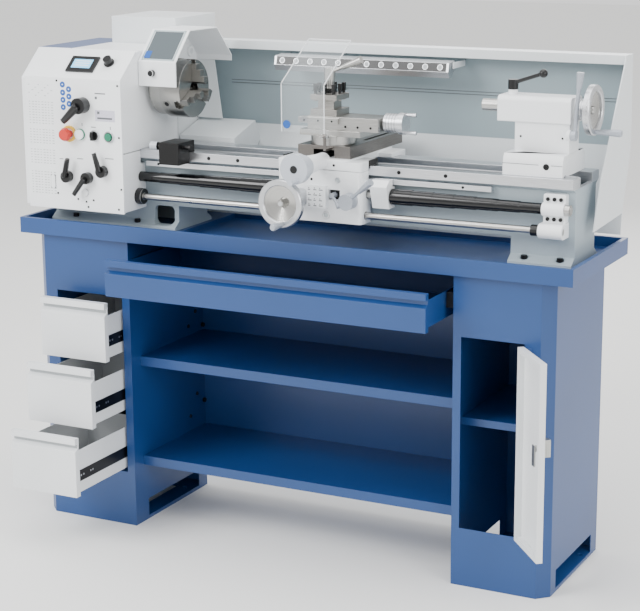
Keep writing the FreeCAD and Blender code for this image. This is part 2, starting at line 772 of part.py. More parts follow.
def chuckGuard():
    """Bent hood over the chuck with a side cheek that carries the pivot."""
    path = [(-101, 1243), (-101, 1310), (-22, 1391), (125, 1389), (205, 1305), (205, 1288)]
    hood = sheetPath(guardX, path, -guardSheet)
    cheek = prismX((guardX[0], guardX[0] + 3), path)
    cheek = cheek.cut(rodX((guardX[0] - 1, guardX[0] + 4), (0, spindleZ), 96))
    knob = rodY((-112, -100), (-437, 1279), 9)
    boss = rodX((guardX[0], guardX[0] + 10), guardPivot, 16)
    body = joined(hood, cheek, knob, boss)
    return body.cut(rodX((guardX[0] - 1, guardX[0] + 12), guardPivot, 8 + runFit))


# ---------------------------------------------------------------- controls

def handleLever(hubX, hubZ, tipX, tipZ, hubR, reach, gripR, stubR):
    """Rotary lever on the fascia: hub, shank to the tip, grip, and stub shaft."""
    front = fasciaFront - partGap
    hub = rodY((front - reach, front), (hubX, hubZ), hubR)
    stub = rodY((front - 1, fasciaFront + 20), (hubX, hubZ), stubR)
    y = front - reach + gripR
    dx, dz = tipX - hubX, tipZ - hubZ
    mid = (hubX + dx * 0.45, y - 4, hubZ + dz * 0.45)
    shank = bar((hubX, y, hubZ), mid, gripR * 0.6)
    grip = bar(mid, (tipX, y - 10, tipZ), gripR * 0.7, gripR)
    return joined(hub, stub, shank, grip)


def panelControls():
    """Every control on the fascia that turns or travels."""
    save("range_lever", handleLever(-604, 1194, -653, 1150, 22, 30, 9, 9))
    for name, (hx, hz, tx, tz) in leverHubs().items():
        save(name, handleLever(hx, hz, tx, tz, 16, 18, 6.5, 7))
    front = fasciaFront
    stop = joined(rodY((front - 24, front + 8), (-653, 1113), 10),
                  coneY((front - 32, front - 22), (-653, 1113), (15, 19)))
    save("stop_button", stop)
    start = joined(rodY((front - 10, front + 8), (-523, 1111), 10),
                   rodY((front - 10, front - 6), (-523, 1111), 10.5))
    save("start_button", start)
    selector = joined(rodY((front - 4, front + 10), (-571, 1112), 7),
                      rodY((front - 8, front - 3.5), (-571, 1112), 13),
                      box((-575, -567), (front - 18, front - 7), (1100, 1124)))
    save("selector_switch", selector)
    knob = joined(slopeRod(-545, 60, (-8, 1.5), 6), slopeRod(-545, 60, (0.5, 5), 15),
                  slopeRod(-545, 60, (4, 20), 12))
    save("speed_knob", knob)


# ---------------------------------------------------------------- feed shafts

def leadscrew():
    """Leadscrew shaft with its end nut."""
    shaft = rodX((headX[1] - 25, bracketX[1] + 16), screwAxis, screwR)
    nut = rodX((bracketX[1] + partGap, bracketX[1] + 14), screwAxis, 14)
    return joined(shaft, nut)


def feedRod():
    """Keyed feed rod with the clutch collar at the left and a collar at the right."""
    shaft = rodX((headX[1] - 25, bracketX[1]), rodAxis, rodR)
    clutch = rodX((headX[1] + partGap, headX[1] + 19), rodAxis, 22)
    collar = rodX((bracketX[0] - 23, bracketX[0] - 4), rodAxis, 14)
    keyway = box((headX[1] + 30, bracketX[0] - 30), (rodAxis[0] - rodR - 1, rodAxis[0] - rodR + 2.5),
                 (rodAxis[1] - 2, rodAxis[1] + 2))
    return joined(shaft, clutch, collar).cut(keyway)


def spiralCover(x, radii):
    """Outer shape of a telescopic spiral cover: hollow cone around the leadscrew."""
    outer = coneX(x, screwAxis, radii)
    inner = coneX(x, screwAxis, (radii[0] - 2, radii[1] - 2))
    return outer.cut(inner)


def bedStop():
    """Carriage stop clamped to the front of the bed, with its adjusting screw."""
    block = box((-387, -325), (-158, bedFront - slideGap), (1040, 1100))
    arm = box((-387, -325), (bedFront - 1, bedFront + 26), (bedTop + slideGap, 1100))
    screw = rodX((-415, -302), (-130, 1086), 6)
    thimble = rodX((-428, -406), (-130, 1086), 11)
    tip = rodX((-306, -300), (-130, 1086), 9)
    return joined(block, arm, screw, thimble, tip)


# ---------------------------------------------------------------- carriage

def saddle():
    """H-shaped saddle: front and rear wings, bridge, and the cross-screw nose."""
    low = bedTop + slideGap
    wingFront = box(saddleX, (saddleFront, -44), (low, wingTop))
    skirt = box(saddleX, (saddleFront, bedFront - slideGap), (saddleSeam, wingTop))
    bridge = box((crossSlideX[0] - 3, crossSlideX[1] + 3), (saddleFront, 132), (low, bridgeTop))
    wingBack = box(saddleX, (44, 132), (low, wingTop))
    skirtBack = box(saddleX, (bedBack + slideGap, 132), (bedTop - 40, wingTop))
    keeper = box(saddleX, (bedWebBack + 4, 132), (bedTop - 50, bedTop - 35))
    body = joined(wingFront, skirt, bridge, wingBack, skirtBack, keeper)
    body = rounded(body, 8, lambda e: alongAxis("z")(e) and e.CenterOfMass.y < saddleFront + 1)
    nose = rodY((saddleFront - 17, saddleFront + 20), crossAxis, 21)
    flare = coneY((-235, saddleFront - 16), crossAxis, (26, 21))
    body = joined(body, nose, flare)
    groove = prismX((saddleX[0] - 1, saddleX[1] + 1),
                    [(wayY - wayHalf - 3, low - 1), (wayY - wayHalf - 3, low + 1), (wayY, bedTop + wayHeight + 1.5),
                     (wayY + wayHalf + 3, low + 1), (wayY + wayHalf + 3, low - 1)])
    channel = box((crossAxis[0] - 10, crossAxis[0] + 10), (saddleFront + 21, 140), (low - 1, bridgeTop + 30))
    screwHole = rodY((-240, 140), crossAxis, crossScrewR + runFit)
    return cutAway(body, groove, channel, screwHole)


def apron():
    """Gear case hanging in front of the bed, with the leadscrew guard at its right."""
    front = box(saddleX, (saddleFront, bedFront - slideGap), (apronBottom, saddleSeam - 0.5))
    rear = box(saddleX, (bedFront - 1, -88), (apronBottom, bedTop - 50))
    body = joined(front, rear)
    body = rounded(body, 10, lambda e: alongAxis("z")(e) and e.CenterOfMass.y < saddleFront + 1)
    half = prismX((saddleX[1] + 20, 281), [(-136, 1020), (-118, 1036), (-97, 1036), (-97, 1018), (-84, 1018), (-84, 962), (-118, 962)])
    bridge = box((saddleX[1] - 5, 240), (-118, -97), (1010, 1034))
    chart = box((62, 117), (saddleFront - 14, saddleFront + 1), (958, 1016))
    body = joined(body, half, bridge, chart)
    holes = [rodX((saddleX[0] - 1, 290), screwAxis, 12), rodX((saddleX[0] - 1, 290), rodAxis, 11),
             rodY((saddleFront - 1, saddleFront + 18), carriageWheelAt, 10 + runFit),
             rodY((saddleFront - 1, saddleFront + 16), (183, 981), 9 + runFit),
             box((119, 152), (saddleFront - 1, saddleFront + 12), (979, 1006))]
    return cutAway(body, *holes)


def handWheel():
    """Dished apron handwheel with its shaft and crank handle."""
    x, z = carriageWheelAt
    rim = rodY((carriageWheelY - 12, carriageWheelY + 6), (x, z), wheelR)
    dish = coneY((carriageWheelY - 13, carriageWheelY), (x, z), (wheelR - 9, 24))
    hub = rodY((carriageWheelY - 8, carriageWheelY + 40), (x, z), 16)
    collar = rodY((carriageWheelY + 38, saddleFront - partGap), (x, z), 24)
    shaft = rodY((carriageWheelY, saddleFront + 16), (x, z), 10)
    handle = bar((x + 7, carriageWheelY - 10, z - 52), (x + 7, carriageWheelY - 66, z - 52), 6, 9.5)
    return joined(rim.cut(dish), hub, collar, shaft, handle)


def crossWheel():
    """Cross-feed screw with its dial and disc handwheel."""
    x, z = crossAxis
    disc = rodY((crossWheelY - 24, crossWheelY), (x, z), crossWheelR)
    dial = rodY((crossWheelY - 1, -236), (x, z), 30)
    screw = rodY((crossWheelY, 130), (x, z), crossScrewR)
    handle = bar((x + 9, crossWheelY - 22, z - 29), (x + 9, crossWheelY - 62, z - 29), 5.5, 7)
    return joined(disc, dial, screw, handle)


def crossSlide():
    """Cross slide: long block with a tunnel over the screw."""
    low = bridgeTop + slideGap
    body = box(crossSlideX, crossSlideY, (low, crossSlideTop))
    x, z = crossAxis
    tunnel = box((x - 30, x + 30), (crossSlideY[0] - 1, crossSlideY[1] + 1), (low - 1, z + 28))
    slots = [box((sx - 5, sx + 5), (10, crossSlideY[1] + 1), (crossSlideTop - 8, crossSlideTop + 1))
             for sx in (crossSlideX[0] + 22, crossSlideX[1] - 22)]
    post = box((112, 120), (shieldY + 2, crossSlideY[0] + 1), (1108, 1113))
    stem = box((112, 120), (shieldY + 2, shieldY + 5), (1108, 1142))
    pin = rodX((104, 128), (shieldY + 3.5, 1146), 3)
    eye = rodX((112, 120), (shieldY + 3.5, 1146), 5)
    return joined(cutAway(body, tunnel, *slots), post, stem, eye, pin)


def topSlideBase():
    """Swivel disc and dovetail base of the top slide."""
    centre = (crossAxis[0], postAt[1])
    disc = rodZ((crossSlideTop + slideGap, 1141), centre, swivelR)
    base = box((20, 195), (-112, -14), (1140, topSlideZ[0] - slideGap))
    return joined(disc, base)


def topSlide():
    """Top slide block with its front clamp strip."""
    body = box(topSlideX, topSlideY, topSlideZ)
    strip = box((17, 132), (topSlideY[0] - 9, topSlideY[0] + 20), (1172, 1187))
    neck = rodX((topSlideX[1] - 10, topSlideX[1] + 4), (postAt[1], crankZ), 12)
    body = joined(body, strip, neck)
    return body.cut(rodX((60, topSlideX[1] + 5), (postAt[1], crankZ), 6 + runFit))


def topSlideCrank():
    """Top-slide screw, graduated drum and balanced crank with two handles."""
    y, z = postAt[1], crankZ
    start = topSlideX[1] + 4 + partGap
    drum = rodX((start, start + 40), (y, z), 24.5)
    disc = rodX((start + 39, start + 55), (y, z), 28)
    screw = rodX((100, start + 5), (y, z), 6)
    handles = [bar((start + 53, y, z + s * 23), (start + 84, y, z + s * 23), 3.5, 5.5) for s in (1, -1)]
    return joined(drum, disc, screw, *handles)


def toolPost():
    """Four-way tool post with its eight clamp screws and centre stud."""
    x, y = postAt
    h = postSide / 2
    low = topSlideZ[1] + slideGap
    lower = box((x - h, x + h), (y - h, y + h), (low, 1207))
    core = box((x - h + 15, x + h - 15), (y - h + 15, y + h - 15), (1206, 1232))
    upper = box((x - h, x + h), (y - h, y + h), (1231, 1245))
    screws = []
    for offset in (-26, 0, 26):
        for side in (-h + 8, h - 8):
            screws.append((x + offset, y + side))
    for side in (-h + 8, h - 8):
        screws.append((x + side, y))
    posts = [rodZ((1227, 1264), at, 4.5) for at in screws]
    heads = [box((ax - 4.5, ax + 4.5), (ay - 4.5, ay + 4.5), (1254, 1272)) for ax, ay in screws]
    stud = rodZ((1244, 1258), postAt, 12)
    return joined(lower, core, upper, *posts, *heads, stud)


def toolPostLever():
    """Clamp hub and handle on top of the tool post."""
    x, y = postAt
    hub = joined(rodZ((1258 + slideGap, 1262), postAt, 12), Part.makeCone(10, 14.5, 22, Vector(x, y, 1262)),
                 rodZ((1284, 1312), postAt, 14.5))
    rod = bar((x + 6, y, 1302), (x + 44, y, 1317), 4.5)
    grip = bar((x + 38, y, 1314.5), (x + 92, y, 1336), 6.5, 10)
    return joined(hub, rod, grip)


def carriageShield():
    """Clear bent sheet in front of and over the tool post."""
    path = [(shieldY, 1153), (shieldY, 1277), (0, 1378)]
    sheet = sheetPath(shieldX, path, -3)
    ears = []
    for x in ((104, 111.5), (120.5, 128)):
        ears.append(rodX(x, (shieldY + 3.5, 1146), 6.5))
        ears.append(box(x, (shieldY, shieldY + 3), (1146, 1160)))
    whole = joined(sheet, box((104, 128), (shieldY, shieldY + 3), (1153, 1162)), *ears)
    return whole.cut(rodX((100, 130), (shieldY + 3.5, 1146), 3 + runFit))


def halfNutLever():
    """Half-nut hub with its handle."""
    x, z = 183, 981
    front = saddleFront - partGap
    hub = rodY((front - 32, front), (x, z), 21)
    stub = rodY((front - 1, saddleFront + 15), (x, z), 9)
    shank = bar((x + 14, front - 22, z + 11), (x + 40, front - 28, z + 32), 4.5)
    grip = bar((x + 38, front - 28, z + 30), (x + 76, front - 38, z + 60), 6, 10)
    return joined(hub, stub, shank, grip)


def feedLever():
    """Small feed-engage lever in the apron's slot."""
    front = saddleFront - partGap
    pivot = rodY((front - 12, saddleFront + 11), (134, 992), 7)
    arm = bar((134, front - 8, 992), (152, front - 14, 972), 4)
    knob = bar((149, front - 13, 975), (158, front - 18, 964), 4.5, 6.5)
    return joined(pivot, arm, knob)


# ---------------------------------------------------------------- tailstock

def tailstock():
    """Tailstock casting: base on the ways, neck and quill barrel."""
    low = bedTop + slideGap
    half = tailBaseY
    base = prismX(tailBaseX, [(-half, low), (-half, tailSplit), (-half + 3, tailSplit), (-half + 3, 1110),
                              (-half + 10, tailBaseTop), (half - 10, tailBaseTop), (half - 3, 1110),
                              (half - 3, tailSplit), (half, tailSplit), (half, low)])
    neck = box((590, 734), (-36, 36), (tailBaseTop - 1, barrelZ[0] + 1))
    barrel = box(barrelX, (-barrelHalf, barrelHalf), barrelZ)
    barrel = rounded(barrel, 13, lambda e: alongAxis("x")(e) and e.CenterOfMass.z > spindleZ)
    barrel = rounded(barrel, 4, lambda e: alongAxis("x")(e) and e.CenterOfMass.z < barrelZ[0] + 1)
    pad = rodX((barrelX[1] - 1, barrelX[1] + 5), (0, spindleZ), 29)
    boss = rodZ((1250, 1272), (570, 0), 12)
    lockBoss = rodX((731, 740), (-42, 1170), 14)
    body = joined(base, neck, barrel, pad, boss, lockBoss)
    groove = prismX((tailBaseX[0] - 1, tailBaseX[1] + 1),
                    [(wayY - wayHalf - 3, low - 1), (wayY - wayHalf - 3, low + 1),
                     (wayY, bedTop + wayHeight + 1.5), (wayY + wayHalf + 3, low + 1), (wayY + wayHalf + 3, low - 1)])
    bore = rodX((barrelX[0] - 1, barrelX[1] - 2), (0, spindleZ), quillR + runFit)
    screwHole = rodX((barrelX[1] - 3, barrelX[1] + 6), (0, spindleZ), 8 + runFit)
    clampHole = rodZ((1255, 1273), (570, 0), 6 + runFit)
    lockHole = rodX((733, 741), (-42, 1170), 6 + runFit)
    clampBlock = box((612, 700), (-railInner + 2, railInner - 2), (bedTop - 60, low + 1))
    foot = box((612, 700), (-railInner - 6, railInner + 6), (bedTop - 60, bedTop - 42))
    return joined(cutAway(body, groove, bore, screwHole, clampHole, lockHole), clampBlock, foot)


def quill():
    """Tailstock quill with its taper socket and screw hole."""
    body = rodX(quillX, (0, spindleZ), quillR)
    taper = coneX((quillX[0] - 1, quillX[0] + 70), (0, spindleZ), (9.1, 7.4))
    screw = rodX((quillX[0] + 78, quillX[1] + 1), (0, spindleZ), 8.5)
    return cutAway(body, taper, screw)


def tailWheel():
    """Quill screw, dial and dished handwheel."""
    axis = (0, spindleZ)
    start = barrelX[1] + 5 + partGap
    dial = rodX((start, start + 20), axis, 25)
    hub = rodX((start + 19, 792), axis, 16)
    disc = rodX((774, 790), axis, wheelR)
    dish = coneX((780, 791), axis, (24, wheelR - 9))
    screw = rodX((quillX[0] + 130, start + 5), axis, 8)
    handle = bar((787, 0, spindleZ - 54), (858, 0, spindleZ - 54), 6, 9.5)
    return joined(disc.cut(dish), dial, hub, screw, handle)


def quillClamp():
    """Clamp hub and lever on top of the barrel."""
    hub = joined(rodZ((1256, 1275), (570, 0), 6), rodZ((1272 + partGap, 1297), (570, 0), 13))
    arm = bar((570, 0, 1288), (657, -28, 1317), 5)
    ball = Part.makeSphere(11, Vector(660, -29, 1318))
    return joined(hub, arm, ball)


def tailLock():
    """Bed clamp lever beside the tailstock."""
    stub = rodX((734, 746), (-42, 1170), 6)
    hub = rodX((740 + partGap, 754), (-42, 1170), 13)
    arm = bar((750, -44, 1172), (757, -42, 1290), 5)
    grip = bar((757, -42, 1286), (760, -41, 1326), 6.5, 9.5)
    return joined(stub, hub, arm, grip)


# ---------------------------------------------------------------- splash guard and lamp

def splashGuard():
    """Rear splash guard with its side wall, chip plate, wedge cover and lamp brackets."""
    x = (splashLeft, guardSideX + splashSheet)
    path = [(206, 1322), (203, 1346), (262, 1346), (270, 1104), (214, 936), (205, 880)]
    path = path[::-1]
    back = sheetPath(x, path, splashSheet)
    side = prismX((guardSideX, guardSideX + splashSheet),
                  [(203, 1346), (196, 1322), (30, 1055), (-20, 927), (214, 936), (270, 1104), (262, 1346)])
    foot = box((splashLeft, 540), (203, 206), (platformTop, 884))
    plate = prismY((206, 209), [(splashLeft, 1120), (-398, 1120), (-421, 1290), (splashLeft, 1290)])
    tie = box((splashLeft, splashLeft + 3), (206, 265), (1120, 1290))
    wedge = prismX((splashLeft, -300), [(bedBack + 4, 1035), (bedBack + 4, 1082), (225, 1118), (253.5, 1060), (225, 1035)])
    brackets = []
    for x0 in (-203, 330):
        brackets.append(box((x0, x0 + 4), (176, 266), (1296, 1312)))
        pin = (x0 + 3.9, x0 + 12) if x0 < 0 else (x0 - 8, x0 + 0.1)
        brackets.append(rodX(pin, lampPivot(), 3))
    return joined(back, side, foot, plate, tie, wedge, *brackets)


def lampPivot():
    """(y, z) of the lamp's tilt axis."""
    return (184.0, 1304.0)


def lampHead():
    """Long LED lamp under the guard's top lip."""
    x = (-197, 328)
    outline = [(152, 1288), (158, 1312), (196, 1316), (198, 1292), (172, 1272), (160, 1272)]
    body = prismX(x, outline)
    return body.cut(rodX((x[0] - 1, x[0] + 8), lampPivot(), 3 + runFit)).cut(
        rodX((x[1] - 8, x[1] + 1), lampPivot(), 3 + runFit))


save("left_pedestal", leftPedestal())
save("right_pedestal", rightPedestal())
save("back_panel", backPanel())
save("stand_shelves", *standShelves())
save("chip_tray", chipTray())
save("drawer_runners", *drawerRunners())
pedestalDrawers()
save("centre_drawer", centreDrawer())
save("cabinet_door", cabinetDoor())
save("door_lock", doorLock())
save("bed", bedCasting())
save("screw_bracket", screwBracket())
save("anchor_bolts", *anchorBolts())
save("headstock", headstock())
save("feed_gearbox", feedGearbox())
save("front_panel", frontPanel())
save("end_gear_cover", endGearCover())
save("electrics_cabinet", electricsCabinet())
save("drive_motor", *driveMotor())
save("spindle", spindle())
save("chuck_body", chuckBody())
for number in range(3):
    save(f"chuck_jaw_{number + 1}", chuckJaw(number))
save("chuck_guard", chuckGuard())
panelControls()
save("leadscrew", leadscrew())
save("feed_rod", feedRod())
save("screw_cover_left", spiralCover((headX[1] + 1, saddleX[0] - 1), (coverThinR, coverWideR)))
save("screw_cover_right", spiralCover((283, bracketX[0] - 1), (coverWideR, coverThinR)))
save("bed_stop", bedStop())
save("saddle", saddle())
save("apron", apron())
save("carriage_wheel", handWheel())
save("cross_wheel", crossWheel())
save("cross_slide", crossSlide())
save("top_slide_base", topSlideBase())
save("top_slide", topSlide())
save("top_slide_crank", topSlideCrank())
save("tool_post", toolPost())
save("tool_post_lever", toolPostLever())
save("carriage_shield", carriageShield())
save("half_nut_lever", halfNutLever())
save("feed_lever", feedLever())
save("tailstock", tailstock())
save("quill", quill())
save("tailstock_wheel", tailWheel())
save("quill_clamp", quillClamp())
save("tailstock_lock", tailLock())
save("splash_guard", splashGuard())
save("lamp_head", lampHead())
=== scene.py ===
import json
import math

import bmesh
import bpy
from mathutils import Matrix, Vector

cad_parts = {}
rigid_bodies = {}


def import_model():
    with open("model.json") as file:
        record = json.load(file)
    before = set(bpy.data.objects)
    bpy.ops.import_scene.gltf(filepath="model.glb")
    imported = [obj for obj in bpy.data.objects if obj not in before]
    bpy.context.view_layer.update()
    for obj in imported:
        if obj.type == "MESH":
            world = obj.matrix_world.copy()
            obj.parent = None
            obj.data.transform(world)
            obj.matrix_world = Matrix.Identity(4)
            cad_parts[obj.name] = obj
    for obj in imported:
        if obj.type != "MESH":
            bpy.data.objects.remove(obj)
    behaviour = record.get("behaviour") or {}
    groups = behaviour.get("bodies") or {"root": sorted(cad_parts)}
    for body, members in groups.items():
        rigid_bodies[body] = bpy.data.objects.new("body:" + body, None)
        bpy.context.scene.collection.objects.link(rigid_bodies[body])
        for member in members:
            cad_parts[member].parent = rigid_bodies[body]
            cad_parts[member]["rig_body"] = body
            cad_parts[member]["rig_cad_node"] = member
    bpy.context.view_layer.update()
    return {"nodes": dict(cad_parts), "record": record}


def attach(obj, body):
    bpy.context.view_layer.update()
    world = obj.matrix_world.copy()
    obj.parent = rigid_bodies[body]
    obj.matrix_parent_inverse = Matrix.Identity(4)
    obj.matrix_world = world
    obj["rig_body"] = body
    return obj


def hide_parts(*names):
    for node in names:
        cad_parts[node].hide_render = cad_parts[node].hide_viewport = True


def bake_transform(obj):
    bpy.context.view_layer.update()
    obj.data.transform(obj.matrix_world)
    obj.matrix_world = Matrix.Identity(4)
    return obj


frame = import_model()
mm = 0.001
nodes = frame["nodes"]
bodyOf = {node: body for body, names in frame["record"]["behaviour"]["bodies"].items() for node in names}
spindleHeight = 1230 * mm
print("frame loaded:", len(nodes), "nodes")


def placeCamera():
    view = {"lens": 99.49, "place": (2.162, -4.190, 1.801), "azimuth": 27.09, "elevation": 13.70, "roll": -0.43}
    bpy.ops.object.camera_add(location=view["place"])
    camera = bpy.context.active_object
    camera.data.lens = view["lens"]
    camera.data.sensor_width = 36
    camera.data.clip_end = 60
    az, el = math.radians(view["azimuth"]), math.radians(view["elevation"])
    turn = Matrix.Rotation(az, 4, "Z") @ Matrix.Rotation(math.pi / 2 - el, 4, "X")
    turn = turn @ Matrix.Rotation(math.radians(view["roll"]), 4, "Z")
    camera.rotation_euler = turn.to_euler()
    bpy.context.scene.camera = camera


def lightStudio():
    world = bpy.data.worlds.new("studio")
    bpy.context.scene.world = world
    world.use_nodes = True
    world.node_tree.nodes["Background"].inputs["Color"].default_value = (1, 1, 1, 1)
    world.node_tree.nodes["Background"].inputs["Strength"].default_value = 1.2
    # name: place, aim, size, power
    lamps = {
        "keyBox": ((-2.6, -3.6, 3.6), (0, 0, 0.9), 2.4, 230),
        "rightBox": ((4.0, -1.8, 2.2), (0.2, 0, 0.8), 2.0, 70),
        "topBox": ((0.2, -0.4, 4.0), (0, 0, 0.8), 3.0, 90),
        "rearBox": ((-0.5, 4.2, 2.6), (0, 0, 0.9), 2.5, 60),
    }
    for name, (place, aim, size, power) in lamps.items():
        bpy.ops.object.light_add(type="AREA", location=place)
        lamp = bpy.context.active_object
        lamp.name = name
        lamp.data.size = size
        lamp.data.energy = power
        lamp.rotation_euler = (Vector(aim) - Vector(place)).to_track_quat("-Z", "Y").to_euler()


def layFloor():
    bpy.ops.mesh.primitive_plane_add(size=40, location=(0, 0, 0))
    floor = bpy.context.active_object
    floor.name = "floor"
    floor.data.materials.append(plainFloor())


def solo(piece):
    bpy.ops.object.select_all(action="DESELECT")
    piece.select_set(True)
    bpy.context.view_layer.objects.active = piece


def settle(piece):
    # place, turn and size go into the mesh
    solo(piece)
    bpy.ops.object.transform_apply(location=True, rotation=True, scale=True)
    return piece


def useModifier(piece, kind, **settings):
    solo(piece)
    modifier = piece.modifiers.new(kind.lower(), kind)
    for key, value in settings.items():
        setattr(modifier, key, value)
    bpy.ops.object.modifier_apply(modifier=modifier.name)
    return piece


def softEdges(piece, width, steps=2, angle=32):
    useModifier(piece, "BEVEL", width=width, segments=steps, limit_method="ANGLE",
                angle_limit=math.radians(angle), use_clamp_overlap=True)
    solo(piece)
    bpy.ops.object.shade_smooth_by_angle(angle=math.radians(38))
    useModifier(piece, "WEIGHTED_NORMAL", keep_sharp=True)
    return piece


def finishPiece(piece, name, body, material):
    settle(piece)
    piece.name = name
    piece.data.name = name
    piece.data.materials.clear()
    piece.data.materials.append(material)
    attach(piece, body)
    return piece


def joinPieces(pieces):
    bpy.ops.object.select_all(action="DESELECT")
    for piece in pieces:
        piece.select_set(True)
    bpy.context.view_layer.objects.active = pieces[0]
    bpy.ops.object.join()
    return bpy.context.active_object


def addBlock(low, high, soften=0.6 * mm, steps=2):
    # a block between two corners with its edges broken
    bpy.ops.object.select_all(action="DESELECT")
    middle = [(a + b) / 2 for a, b in zip(low, high)]
    bpy.ops.mesh.primitive_cube_add(size=1, location=middle)
    piece = bpy.context.active_object
    piece.scale = [b - a for a, b in zip(low, high)]
    settle(piece)
    return softEdges(piece, soften, steps) if soften else piece


def turnTowards(direction):
    return Vector(direction).to_track_quat("Z", "Y").to_matrix().to_4x4()


def addTurned(outline, place, direction, around=48, smooth=35):
    # outline of (radius, height) points spun about the axis, as on a lathe
    bpy.ops.object.select_all(action="DESELECT")
    mesh = bpy.data.meshes.new("turned")
    shape = bmesh.new()
    rim = [shape.verts.new((radius, 0, height)) for radius, height in outline]
    for a, b in zip(rim, rim[1:]):
        shape.edges.new((a, b))
    bmesh.ops.spin(shape, geom=shape.verts[:] + shape.edges[:], cent=(0, 0, 0), axis=(0, 0, 1),
                   angle=math.tau, steps=around, use_merge=True)
    bmesh.ops.remove_doubles(shape, verts=shape.verts, dist=1e-6)
    bmesh.ops.recalc_face_normals(shape, faces=shape.faces)
    shape.to_mesh(mesh)
    shape.free()
    piece = bpy.data.objects.new("turned", mesh)
    bpy.context.scene.collection.objects.link(piece)
    piece.matrix_world = Matrix.Translation(place) @ turnTowards(direction)
    settle(piece)
    bpy.ops.object.shade_smooth_by_angle(angle=math.radians(smooth))
    return piece


def addPolyPrism(points, low, high, axis="X", soften=0.8 * mm):
    # a closed outline pushed along one axis; points are the other two coordinates in order
    bpy.ops.object.select_all(action="DESELECT")
    order = {"X": lambda p, d: (d, p[0], p[1]), "Y": lambda p, d: (p[0], d, p[1]),
             "Z": lambda p, d: (p[0], p[1], d)}
    shape = bmesh.new()
    face = shape.faces.new([shape.verts.new(order[axis](point, low)) for point in points])
    pushed = bmesh.ops.extrude_face_region(shape, geom=[face])
    push = {"X": (high - low, 0, 0), "Y": (0, high - low, 0), "Z": (0, 0, high - low)}[axis]
    bmesh.ops.translate(shape, vec=push, verts=[v for v in pushed["geom"] if isinstance(v, bmesh.types.BMVert)])
    bmesh.ops.recalc_face_normals(shape, faces=shape.faces)
    mesh = bpy.data.meshes.new("prism")
    shape.to_mesh(mesh)
    shape.free()
    piece = bpy.data.objects.new("prism", mesh)
    bpy.context.scene.collection.objects.link(piece)
    return softEdges(piece, soften) if soften else piece


def softenedCad(node, width, material, steps=2):
    # the node's own shape with its edges broken, standing for the plain one
    bpy.ops.object.select_all(action="DESELECT")
    nodes[node].select_set(True)
    bpy.context.view_layer.objects.active = nodes[node]
    bpy.ops.object.duplicate()
    piece = bpy.context.active_object
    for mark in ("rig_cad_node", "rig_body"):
        if mark in piece:
            del piece[mark]
    piece.parent = None
    solo(piece)
    bpy.ops.object.mode_set(mode="EDIT")
    bpy.ops.mesh.select_all(action="SELECT")
    bpy.ops.mesh.remove_doubles(threshold=0.01 * mm)
    bpy.ops.mesh.dissolve_limited(angle_limit=math.radians(0.6))
    bpy.ops.object.mode_set(mode="OBJECT")
    if width:
        useModifier(piece, "BEVEL", width=width, segments=steps, limit_method="ANGLE",
                    angle_limit=math.radians(34), use_clamp_overlap=False)
    solo(piece)
    bpy.ops.object.shade_smooth_by_angle(angle=math.radians(34))
    useModifier(piece, "WEIGHTED_NORMAL", keep_sharp=True)
    finishPiece(piece, node + "_finished", bodyOf[node], material)
    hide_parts(node)
    return piece


def linear(hexColour, alpha=1.0):
    parts = [int(hexColour[i:i + 2], 16) / 255 for i in (1, 3, 5)]
    return tuple(c / 12.92 if c <= 0.04045 else ((c + 0.055) / 1.055) ** 2.4 for c in parts) + (alpha,)


def newMaterial(name):
    material = bpy.data.materials.new(name)
    material.use_nodes = True
    material.node_tree.nodes.clear()
    return material


def addNode(material, kind, settings=None, links=None):
    # one node with its settings; links maps a socket to (node, output) or to a value
    node = material.node_tree.nodes.new(kind)
    for key, value in (settings or {}).items():
        setattr(node, key, value)
    for socket, source in (links or {}).items():
        if isinstance(source, tuple) and isinstance(source[0], bpy.types.Node):
            material.node_tree.links.new(source[0].outputs[source[1]], node.inputs[socket])
        else:
            node.inputs[socket].default_value = source
    return node


def closeMaterial(material, shader):
    addNode(material, "ShaderNodeOutputMaterial", links={"Surface": (shader, 0)})
    return material


def twoTone(material, factor, dark, light):
    ramp = addNode(material, "ShaderNodeValToRGB", links={"Fac": factor})
    ramp.color_ramp.elements[0].color = dark
    ramp.color_ramp.elements[1].color = light
    ramp.color_ramp.elements[0].position = 0.3
    ramp.color_ramp.elements[1].position = 0.7
    return ramp


def shade(hexColour, by):
    # the same colour a little darker or lighter
    parts = [max(0, min(255, round(int(hexColour[i:i + 2], 16) * by))) for i in (1, 3, 5)]
    return "#%02x%02x%02x" % tuple(parts)


def powderCoat(name, colour, roughness=0.42, peel=1.6, rise=0.05):
    # baked polyester powder: an even colour with a fine orange peel that breaks up the gloss
    material = newMaterial(name)
    where = addNode(material, "ShaderNodeTexCoord")
    drift = addNode(material, "ShaderNodeTexNoise",
                    links={"Vector": (where, "Object"), "Scale": 3.0, "Detail": 3.0})
    tone = twoTone(material, (drift, "Fac"), linear(shade(colour, 0.965)), linear(shade(colour, 1.02)))
    grain = addNode(material, "ShaderNodeTexNoise",
                    links={"Vector": (where, "Object"), "Scale": 1000 / peel, "Detail": 2.0})
    sheen = addNode(material, "ShaderNodeMapRange",
                    links={"Value": (grain, "Fac"), "To Min": roughness - 0.05, "To Max": roughness + 0.06})
    bump = addNode(material, "ShaderNodeBump",
                   links={"Height": (grain, "Fac"), "Strength": rise, "Distance": 0.4 * mm})
    shader = addNode(material, "ShaderNodeBsdfPrincipled",
                     links={"Base Color": (tone, "Color"), "Roughness": (sheen, "Result"),
                            "Normal": (bump, "Normal"),
                            "IOR": 1.5, "Coat Weight": 0.25, "Coat Roughness": 0.22})
    return closeMaterial(material, shader)


